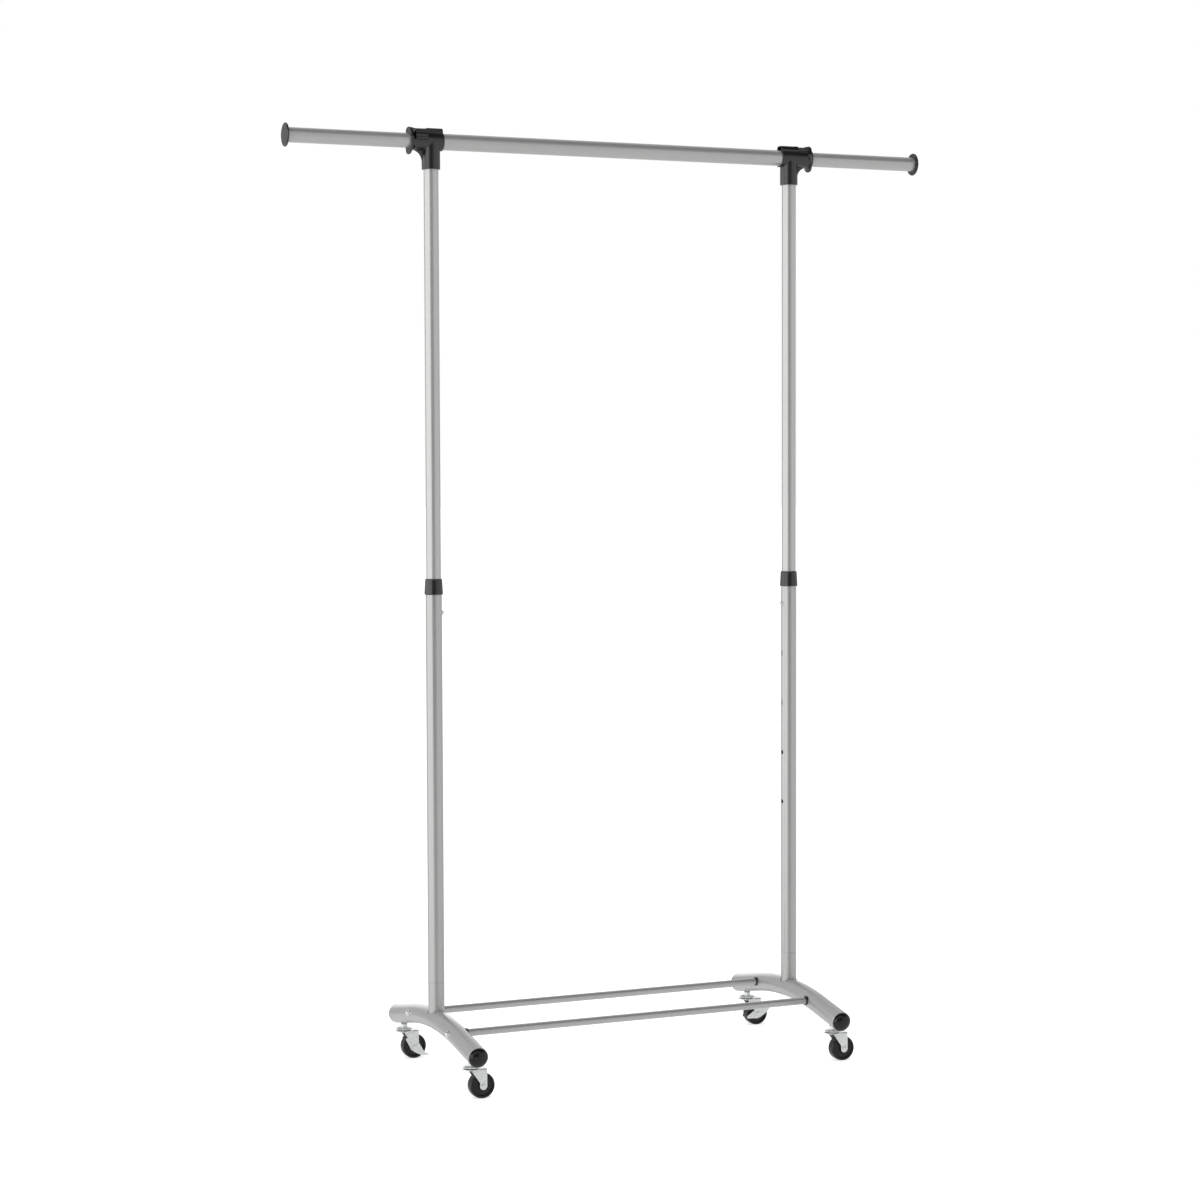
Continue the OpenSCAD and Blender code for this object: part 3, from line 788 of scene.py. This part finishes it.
def make_feet():
    low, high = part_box("post_socket_right")
    for side, sign in SIDES.items():
        here = shifted(sign * POST_X, 0, 0)
        piece("foot_" + side + "_tube", moved(foot_tube(), here), "foot_paint", "base", ["foot_" + side])
        plugs = joined(*[moved(foot_plug(), here @ at_foot_end(way)) for way in (-1, 1)])
        piece("foot_end_plugs_" + side, plugs, "gloss_plastic", "base", ["foot_plugs_" + side])
        socket = plain_tube(OUTER_R, HEAVY_WALL, 0, high.z - low.z, 96, 0.35 * MM)
        piece("post_socket_tube_" + side, moved(socket, here @ shifted(0, 0, low.z)), "post_paint", "base",
              ["post_socket_" + side])
        bead = moved(weld_bead(3.7 + sign), here)
        piece("weld_bead_" + side, bead, "weld_paint", "base")


# ---------------------------------------------------------------- base rails

RAIL_Y = middle("base_rail_rear").y
RAIL_Z = middle("base_rail_rear").z
RAIL_R = reach("base_rail_rear").z
FOOT_TILT = math.asin(RAIL_Y / FOOT_BEND)


def on_foot_skin(bm, reach_x):
    """Presses a ferrule's end, all that is past reach_x, onto the round skin of the foot."""
    kept_depth = 0.02
    for v in bm.verts:
        if v.co.x > reach_x:
            offset = (v.co.z + v.co.y * math.tan(FOOT_TILT)) * math.cos(FOOT_TILT)
            skin = math.sqrt(max(FOOT_R ** 2 - offset ** 2, 0))
            v.co.x = -skin + (v.co.x - reach_x) * kept_depth
    return bm


def ferrule():
    """Black collar between a rail's end and the foot, with an eased mouth."""
    section = [(3.4, -19.7, 0.2), (7.4, -19.7, 0.5), (8.0, -18.4, 0.6), (8.0, -8.0, 0), (3.4, -8.0, 0)]
    return on_foot_skin(moved(turned_form(section, 48, closed=True), ALONG_X), -17.5 * MM)


def rail_bolt():
    """Washer and domed head with a hexagonal recess, on the foot's outer side."""
    head = turned_form([
        (0, 16.2, 0), (6.25, 16.2, 0.2), (6.3, 17.35, 0.3), (5.75, 17.6, 0.1), (5.7, 18.3, 0.5),
        (4.9, 20.0, 1.4), (3.0, 21.3, 1.2), (0, 21.6, 0),
    ], 48)
    recess = prism(hexagon(1.75 * MM), 19.6 * MM, 23 * MM)
    head = combined(head, recess, "DIFFERENCE")
    shank = lathe(mm([(0, -15), (2.8, -15), (3.0, -14), (3.0, 16.5), (0, 16.5)]), 24, closed=False)
    return moved(joined(head, shank), ALONG_X)


def at_rail_end(sign, way):
    mirror = Matrix.Diagonal((sign, way, 1, 1))
    return shifted(sign * POST_X, way * RAIL_Y, RAIL_Z) @ mirror


def make_rails():
    half = reach("base_rail_rear").x
    for name, way in (("front", -1), ("rear", 1)):
        rail = plain_tube(RAIL_R, LIGHT_WALL, -half, half, 64)
        rail = moved(rail, ALONG_X, shifted(0, way * RAIL_Y, RAIL_Z))
        piece("base_rail_tube_" + name, rail, "bar_paint", "base", ["base_rail_" + name])
    ends = [at_rail_end(sign, way) for sign in (-1, 1) for way in (-1, 1)]
    ferrules = joined(*[straightened(moved(ferrule(), end)) for end in ends])
    piece("rail_end_ferrules", ferrules, "black_plastic", "base", ["rail_ferrules"])
    bolts = joined(*[straightened(moved(rail_bolt(), end)) for end in ends])
    piece("rail_end_bolts", bolts, "zinc", "base", ["rail_bolts"])


# ---------------------------------------------------------------- posts

HOLE_R = 4 * MM
SNAP_Z = middle("snap_button_right").z
HOLE_PITCH = 90 * MM
HOLE_COUNT = 5
# the wall of the tubes that the thinner ones slide in leaves them a little play
OUTER_WALL = OUTER_R - INNER_R - 0.06 * MM
SEAM_GAP = 0.2 * MM
SWAGE_PLAY = 0.1 * MM
SWAGE_RISE = 4 * MM


def facing_in(sign):
    """+X of a post's own drawing points at the other post."""
    return shifted(sign * POST_X, 0, 0) @ Matrix.Rotation(math.pi if sign > 0 else 0, 4, "Z")


def collar():
    low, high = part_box("post_collar_right")
    top = (high.z - low.z) / MM
    ring = turned_form([
        (14.02, 0, 0), (15.5, 0, 0.5), (16.05, 1.2, 0.5), (14.65, top - 1.6, 0.8), (14.1, top, 0.5),
        (12.8, top, 0.2), (12.8, top - 3.4, 0), (14.02, top - 3.4, 0),
    ], 96, closed=True)
    return moved(ring, shifted(0, 0, low.z))


def snap_button():
    """Domed pin with its flange inside the post, pointing along +X from the post's axis."""
    pin = turned_form([
        (0, 8.6, 0), (5.5, 8.6, 0.2), (5.5, 9.9, 0.3), (3.9, 9.9, 0.2), (3.9, 15.4, 1.2), (2.9, 17.4, 1.4),
        (0, 18.25, 0),
    ], 40, steps=5)
    return moved(pin, ALONG_X)


def make_posts():
    low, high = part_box("lower_post_right")
    upper_low, upper_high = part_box("upper_post_right")
    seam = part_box("post_socket_right")[1].z + SEAM_GAP
    holes = [SNAP_Z - i * HOLE_PITCH for i in range(HOLE_COUNT)]
    for side, sign in SIDES.items():
        here = facing_in(sign)
        body = holed_tube(OUTER_R, OUTER_WALL, seam, high.z, holes, HOLE_R)
        swage = plain_tube(OUTER_R - HEAVY_WALL - SWAGE_PLAY, LIGHT_WALL, low.z, seam + SWAGE_RISE, 64)
        body = moved(joined(body, swage), here)
        piece("lower_post_tube_" + side, body, "post_paint", "base", ["lower_post_" + side])
        ring = moved(collar(), here)
        piece("post_collar_ring_" + side, ring, "black_plastic", "base", ["post_collar_" + side])
        inner = moved(holed_tube(INNER_R, LIGHT_WALL, upper_low.z, upper_high.z, [SNAP_Z], HOLE_R), here)
        piece("upper_post_tube_" + side, inner, "upper_paint", "upper_frame", ["upper_post_" + side])
        button = moved(snap_button(), here @ shifted(0, 0, SNAP_Z))
        piece("snap_pin_" + side, button, "zinc", "snap_" + side, ["snap_button_" + side])


# ---------------------------------------------------------------- hanging bar

def bar_cap():
    """Round cap with a shallow dished face and a plug inside the tube, along +X."""
    low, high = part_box("bar_cap_right")
    inside, face = low.x / MM, high.x / MM
    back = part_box("extension_bar_right")[1].x / MM
    rim = reach("bar_cap_right").y / MM
    cap = turned_form([
        (0, inside, 0), (11.2, inside, 0.8), (11.45, inside + 2, 0.3), (11.45, back, 0),
        (rim - 0.5, back, 0.4), (rim, back + 0.9, 0.5), (rim, face - 1.0, 0.9),
        (rim - 1.4, face, 0.7), (rim - 2.6, face - 0.35, 0.5), (0, face - 0.12, 0),
    ], 80)
    return moved(cap, ALONG_X)


def make_bars():
    half = reach("hanging_bar").x
    bar = plain_tube(OUTER_R, OUTER_WALL, -half, half, 96)
    piece("hanging_bar_tube", moved(bar, ALONG_X, shifted(0, 0, BAR_Z)), "bar_paint", "upper_frame",
          ["hanging_bar"])
    low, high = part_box("extension_bar_right")
    for side, sign in SIDES.items():
        turn = shifted(0, 0, BAR_Z) @ Matrix.Rotation(0 if sign > 0 else math.pi, 4, "Z")
        tube = moved(plain_tube(INNER_R, LIGHT_WALL, low.x, high.x, 96), ALONG_X, turn)
        piece("extension_tube_" + side, tube, "bar_paint", "extension_" + side, ["extension_bar_" + side])
        cap = moved(bar_cap(), turn)
        piece("bar_end_cap_" + side, cap, "black_plastic", "extension_" + side, ["bar_cap_" + side])


# ---------------------------------------------------------------- tees

TEE_VOXEL = 0.42 * MM
RELEASE_X = middle("release_button_left").x + POST_X
# the tee's own measures, in millimetres
SLEEVE_R, SLEEVE_OUT, SLEEVE_IN = 16, -38.2, 19.5
SOCKET_R, SOCKET_LOW = 15.75, -47.5
FLANGE_HALF, FLANGE_LOBE_R, FLANGE_LOBE_Z = 19.5, 13.5, 9.8
BAR_BORE_R, SLIDE_BORE_R, POST_BORE_R = 14.1, 12.86, 12.75
RIDGE_TOP = 21.8
RIDGE_BACK = [(10.5, 0, 0), (10.5, 15.0, 4.0), (7.0, RIDGE_TOP, 5.0)]


def tee_flange():
    """Flared rim at the sleeve's mouth: a tall oval, a round middle with smaller lobes at its ends."""
    flare = turned_form([
        (0, 32.4, 0), (SLEEVE_R, 32.4, 0.6), (17.2, 35.4, 1.4), (20.2, 37.2, 1.4), (22.9, 37.9, 0.8),
        (23.5, 39.2, 0.7), (22.9, 41.1, 0.9), (20.6, 41.0, 0.9), (18.4, 39.3, 1.0), (0, 39.3, 0),
    ], 120)
    flare = moved(flare, Matrix.Rotation(math.radians(-90), 4, "Y"))
    lean = math.degrees(math.asin((FLANGE_HALF - FLANGE_LOBE_R) / FLANGE_LOBE_Z))
    oval = arc(0, 0, FLANGE_HALF, -lean, lean, 14)
    oval += arc(0, FLANGE_LOBE_Z, FLANGE_LOBE_R, lean, 180 - lean, 20)
    oval += arc(0, 0, FLANGE_HALF, 180 - lean, 180 + lean, 14)
    oval += arc(0, -FLANGE_LOBE_Z, FLANGE_LOBE_R, 180 + lean, 360 - lean, 20)
    return combined(flare, bar_stock(oval, -43, -32, STAND_YZ), "INTERSECT")


def tee_body():
    """One moulding about the crossing of post and bar: its flange is on -X, its post socket points down."""
    sleeve = moved(rod(SLEEVE_R, SLEEVE_OUT, SLEEVE_IN), ALONG_X)
    socket = [(0, SOCKET_LOW, 0), (SOCKET_R, SOCKET_LOW, 0.6), (SOCKET_R, 0, 0), (0, 0, 0)]
    socket = turned_form(socket, 96, steps=3)
    # the hollow ridge on top has a stepped front side, and its back runs on as a low wall
    front = [(-6.4, RIDGE_TOP, 1.6), (-8.6, 20.5, 0.8), (-7.7, 19.8, 0.3), (-9.6, 19.2, 0.6),
             (-10.3, 17.5, 0.7), (-9.3, 16.9, 0.3), (-10.7, 16.2, 0.6), (-11.0, 14.1, 0.7),
             (-10.0, 13.4, 0.3), (-10.0, 0, 0)]
    ridge = bar_stock(RIDGE_BACK + front, -10.0, 18.6, STAND_YZ)
    back = bar_stock([(3.6, 0, 0)] + RIDGE_BACK + [(3.6, RIDGE_TOP, 0.3)], -15.2, -8, STAND_YZ)
    stop = bar_stock([(-5, 0, 0), (5, 0, 0), (5, 22.3, 1.6), (-5, 22.3, 1.6)], -38, -33.1, STAND_YZ, 4)
    wall = bar_stock([(3.6, 0, 0), (8, 0, 0), (8, 18.6, 1.2), (3.6, 18.6, 0.8)], -38, -14, STAND_YZ, 3)
    web = arc(-35, -34, 18.5, 88, 2, 14) + [(-9, -33.3, 0), (-9, -12, 0), (-34.4, -12, 0)]
    web = bar_stock(web, -2, 2, STAND_XZ)
    solid = joined(sleeve, socket, tee_flange(), ridge, back, stop, wall, web)
    tunnel = [(-7, 13.0, 0.8), (7, 13.0, 0.8), (7, 20, 2.6), (-7, 20, 2.6)]
    hollows = [
        moved(rod(BAR_BORE_R, -2, 24), ALONG_X),
        moved(rod(SLIDE_BORE_R, -46, 1), ALONG_X),
        rod(POST_BORE_R, -52, -14),
        bar_stock(tunnel, -7.5, 24, STAND_YZ, 4),
    ]
    for hollow in hollows:
        solid = combined(solid, hollow, "DIFFERENCE")
    return softened(solid, TEE_VOXEL, 3, 0.45)


def release_pad():
    """Ribbed pad that rides over the tee's outer half, with its plunger."""
    middle_y, outer_z, inner_z = -2, 4, 3.2
    outer_r, inner_r, rib_height = 17.15, 16.25, 0.85
    first, last, steps = 73.1, 188.7, 140
    ribs_from, first_rib, rib_pitch = 117, 126, 18
    outline = []
    for k in range(steps + 1):
        angle = first + (last - first) * k / steps
        phase = (angle - first_rib) / rib_pitch
        rib = max(0.0, math.cos(2 * math.pi * phase)) ** 0.8 if angle > ribs_from else 0.0
        a = math.radians(angle)
        radius = outer_r + rib_height * rib
        outline.append((middle_y + radius * math.cos(a), outer_z + radius * math.sin(a)))
    outline += arc(middle_y, inner_z, inner_r, 186.4, 72.1, 48)
    shell = moved(prism(mm(outline), -32.5 * MM, -10.7 * MM), STAND_YZ)
    bevelled(shell, 0.22 * MM)
    stem = turned_form([(0, 14.9, 0), (2.6, 14.9, 0.3), (2.6, 19.6, 0), (0, 19.6, 0)], 32, steps=3)
    return joined(shell, moved(stem, shifted(RELEASE_X, 0, 0)))


def at_tee(sign):
    return shifted(0, 0, BAR_Z) @ facing_in(sign)


def make_tees():
    body = finished_mesh(tee_body(), "tee_moulding", 60)
    pad = finished_mesh(release_pad(), "release_pad")
    for side, sign in SIDES.items():
        place = at_tee(sign)
        piece("tee_moulding_" + side, body, "black_plastic", "upper_frame", ["tee_" + side], place)
        piece("release_pad_" + side, pad, "black_plastic", "release_" + side,
              ["release_button_" + side], place)


# ---------------------------------------------------------------- casters

# in millimetres, from the floor and from the swivel's axis
CROWN_LOW, CROWN_HIGH, CROWN_R = 49.8, 51.4, 16
LEG_IN, LEG_OUT, LEG_LOW = 10.5, 12.1, 8
LEG_END = 6.5
TRAIL_MM = TRAIL / MM
AXLE_MM = AXLE_Z / MM
AXLE_R = 3.0
AXLE_BORE_R = 3.08
FORK_VOXEL = 0.3 * MM
BALL_COUNT = 14
BALL_R = 1.25 * MM
BALL_RING_R = 9.5 * MM
BALL_Z = 52.7 * MM
# how far each brake is turned at rest, in degrees
BRAKE_REST = {"left": -45, "right": 15}


def fork():
    """Stamped fork about its swivel axis: a channel cut to the legs' outline, under a round crown."""
    back = TRAIL_MM + LEG_END
    channel = bar_stock([
        (-LEG_OUT, LEG_LOW, 0), (-LEG_OUT, CROWN_HIGH, 2.4), (LEG_OUT, CROWN_HIGH, 2.4),
        (LEG_OUT, LEG_LOW, 0), (LEG_IN, LEG_LOW, 0), (LEG_IN, CROWN_LOW, 0.9),
        (-LEG_IN, CROWN_LOW, 0.9), (-LEG_IN, LEG_LOW, 0),
    ], -6, back + 2, STAND_YZ, 6)
    side = [(-2.5, CROWN_HIGH + 2, 0), (-2.5, 46.2, 2.0), (TRAIL_MM - LEG_END + 0.3, AXLE_MM + 5.5, 3.0)]
    side += arc(TRAIL_MM, AXLE_MM, LEG_END, 180, 360, 18)
    side += [(back, CROWN_HIGH + 2, 0)]
    legs = combined(channel, bar_stock(side, -20, 20, STAND_XZ), "INTERSECT")
    crown = [(0, CROWN_LOW, 0), (15.6, CROWN_LOW, 0.5), (CROWN_R, CROWN_HIGH, 0.7), (0, CROWN_HIGH, 0)]
    solid = combined(legs, turned_form(crown, 96), "UNION")
    solid = combined(solid, rod(3.15, 45, 55, 48), "DIFFERENCE")
    axle_hole = moved(rod(AXLE_R, -20, 20, 48), ALONG_Y, shifted(TRAIL, 0, AXLE_Z))
    solid = combined(solid, axle_hole, "DIFFERENCE")
    soft = softened(solid, FORK_VOXEL, 2, 0.4)
    # the front edge of each leg is folded slightly outwards, along a crease
    crease, fold_top, fold_run = 9.5 * MM, 48 * MM, 4 * MM
    for v in soft.verts:
        if abs(v.co.y) > (LEG_IN - 0.6) * MM and v.co.x < crease and v.co.z < fold_top:
            share = min(1, (fold_top - v.co.z) / fold_run)
            v.co.y += math.copysign(0.11 * (crease - v.co.x) * share, v.co.y)
    return soft


def axle():
    """Rivet through the fork, its ends peened over, with a small dimple."""
    rivet = turned_form([
        (0, -13.4, 0), (1.2, -13.55, 0.3), (2.6, -13.7, 0.4), (4.2, -13.0, 0.5), (4.4, -12.15, 0.2),
        (AXLE_R, -12.1, 0.1), (AXLE_R, 12.1, 0.1), (4.4, 12.15, 0.2), (4.2, 13.0, 0.5),
        (2.6, 13.7, 0.4), (1.2, 13.55, 0.3), (0, 13.4, 0),
    ], 40, steps=3)
    return moved(rivet, ALONG_Y)


def wheel():
    """Moulded wheel: crowned tread with eased shoulders, and dished sides with a raised hub."""
    half, rim, hub = 8.5, 22.0, 4.64
    one_side = [
        (hub, 7.7, 0.2), (7.6, 7.7, 0.5), (8.2, 6.4, 0.6), (16.6, 6.2, 0.8), (17.4, 8.3, 0.5),
        (18.4, half, 0.4), (20.3, half, 0.9), (21.5, 7.4, 1.0), (rim - 0.12, 5.2, 1.2),
    ]
    far_side = [(r, -z, e) for r, z, e in reversed(one_side)]
    return moved(turned_form(one_side + [(rim, 0, 0)] + far_side, 120, closed=True), ALONG_Y)


def bush():
    section = [(AXLE_BORE_R, -8.1, 0.1), (4.6, -8.1, 0.3), (4.6, 8.1, 0.3), (AXLE_BORE_R, 8.1, 0.1)]
    return moved(turned_form(section, 40, steps=3, closed=True), ALONG_Y)


def brake():
    """Stamped brake: two side plates about the axle, an arm out to the pedal and a tail."""
    outline = rounded(mm([
        (-22.0, 1.9, 1.8), (-6.5, 7.3, 3.0), (-2.5, 9.3, 3.5), (4.5, 8.7, 4.0), (18.4, 4.8, 5.0),
        (24.2, 3.7, 3.0), (28.4, 7.4, 0.9), (30.2, 5.8, 0.9), (24.2, -0.6, 2.0), (17.8, -4.6, 6.0),
        (6.0, -8.2, 4.0), (-2.5, -9.3, 4.0), (-7.5, -7.3, 3.0), (-22.2, -2.6, 1.8),
    ]), steps=5)
    edge = 0.2 * MM
    plates = []
    for low, high in ((-10.2, -9.05), (9.05, 10.2)):
        plate = prism(outline, low * MM, high * MM)
        hole = rod(AXLE_BORE_R, -12, 12, 40)
        plates.append(bevelled(combined(plate, hole, "DIFFERENCE"), edge))
    pedal = rounded(mm([
        (22.6, 0.1, 0.4), (24.1, -0.55, 0.6), (27.0, 2.1, 0.0), (30.5, 5.6, 0.6), (29.4, 6.9, 0.6),
        (26.4, 3.7, 0.0), (23.6, 1.0, 0.6),
    ]), steps=3)
    pedal = bevelled(prism(pedal, -9.6 * MM, 9.6 * MM), edge)
    return moved(joined(*plates, pedal), STAND_XZ)


def caster_stem():
    """Threaded stem with its hexagon, the cupped upper raceway and the rivet that holds the fork."""
    raceway = turned_form([
        (0, 46.6, 0), (3.4, 46.6, 0.5), (4.9, 47.7, 0.8), (5.0, 49.5, 0.1), (3.0, 49.5, 0.1),
        (3.0, 54.0, 0.1), (11.4, 54.0, 0.4), (12.4, 52.9, 0.4), (13.7, 52.8, 0.3), (14.0, 54.0, 0.5),
        (12.8, 55.3, 0.8), (9.4, 56.4, 1.6), (6.6, 56.8, 0.4), (0, 56.8, 0),
    ], 80)
    half_flats = 5.5
    corners = mm(hexagon(half_flats / math.cos(math.radians(30))))
    nut = bevelled(prism(corners, 56.6 * MM, 62.2 * MM), 0.35 * MM, 20)
    root, crest, thread_low, thread_high = 3.45, 3.9, 62.0, 78.0
    thread = [(crest if k % 2 else root, thread_low + 0.5 * k) for k in range(33)]
    thread = lathe(mm([(0, thread_low)] + thread + [(0, thread_high)]), 40, closed=False)
    return joined(raceway, nut, thread)


def caster_ball(index):
    ball = bmesh.new()
    bmesh.ops.create_icosphere(ball, subdivisions=3, radius=BALL_R)
    a = 2 * math.pi * index / BALL_COUNT
    return moved(ball, shifted(BALL_RING_R * math.cos(a), BALL_RING_R * math.sin(a), BALL_Z))


def boss():
    """Painted conical boss under the foot, flared where it is welded on."""
    return turned_form([
        (3.95, 62.35, 0.1), (5.4, 62.35, 0.3), (5.9, 62.9, 0.5), (9.2, 67.6, 1.2), (10.6, 69.2, 1.0),
        (10.6, 72.5, 0), (3.95, 72.5, 0),
    ], 64, closed=True)


def make_casters():
    fork_mesh = finished_mesh(fork(), "fork_stamping", 60)
    axle_mesh = finished_mesh(axle(), "axle_rivet")
    wheel_mesh = finished_mesh(wheel(), "wheel_moulding")
    bush_mesh = finished_mesh(bush(), "hub_bushing")
    for corner, (sign, way) in CORNERS.items():
        swivel = shifted(sign * POST_X, way * CASTER_Y, 0)
        hub = swivel @ shifted(TRAIL, 0, AXLE_Z)
        turns, rolls = "swivel_" + corner, "roller_" + corner
        piece("fork_stamping_" + corner, fork_mesh, "zinc", turns, ["fork_" + corner], swivel)
        piece("axle_rivet_" + corner, axle_mesh, "zinc", turns, ["axle_" + corner], hub)
        piece("wheel_moulding_" + corner, wheel_mesh, "wheel_plastic", rolls, ["wheel_" + corner], hub)
        piece("hub_bushing_" + corner, bush_mesh, "zinc", rolls, ["hub_bush_" + corner], hub)
    places = [shifted(sign * POST_X, way * CASTER_Y, 0) for sign, way in CORNERS.values()]
    stems = joined(*[moved(caster_stem(), place) for place in places])
    piece("caster_stem_set", stems, "zinc", "base", ["caster_stems"])
    balls = joined(*[moved(caster_ball(i), place) for place in places for i in range(BALL_COUNT)])
    piece("caster_ball_set", balls, "spring_steel", "base", ["caster_balls"])
    bosses = joined(*[moved(boss(), place) for place in places])
    piece("caster_boss_set", bosses, "foot_paint", "base", ["caster_bosses"])
    for side, angle in BRAKE_REST.items():
        stamping = moved(brake(), Matrix.Rotation(math.radians(-angle), 4, "Y"))
        place = shifted(SIDES[side] * POST_X + TRAIL, CASTER_Y, AXLE_Z)
        piece("foot_brake_" + side, stamping, "zinc", "pedal_rear_" + side, ["brake_rear_" + side], place)


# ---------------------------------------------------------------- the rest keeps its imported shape

KEPT = {
    "rail_inserts": "spring_steel", "tee_screws": "zinc",
    "snap_spring_left": "spring_steel", "snap_spring_right": "spring_steel",
    "release_spring_left": "spring_steel", "release_spring_right": "spring_steel",
    "extension_guide_left": "black_plastic", "extension_guide_right": "black_plastic",
}


def dress_kept_nodes():
    for name, finish in KEPT.items():
        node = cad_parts[name]
        node.data.materials.clear()
        node.data.materials.append(FINISHES[finish])


make_feet()
make_rails()
make_posts()
make_bars()
make_tees()
make_casters()
dress_kept_nodes()
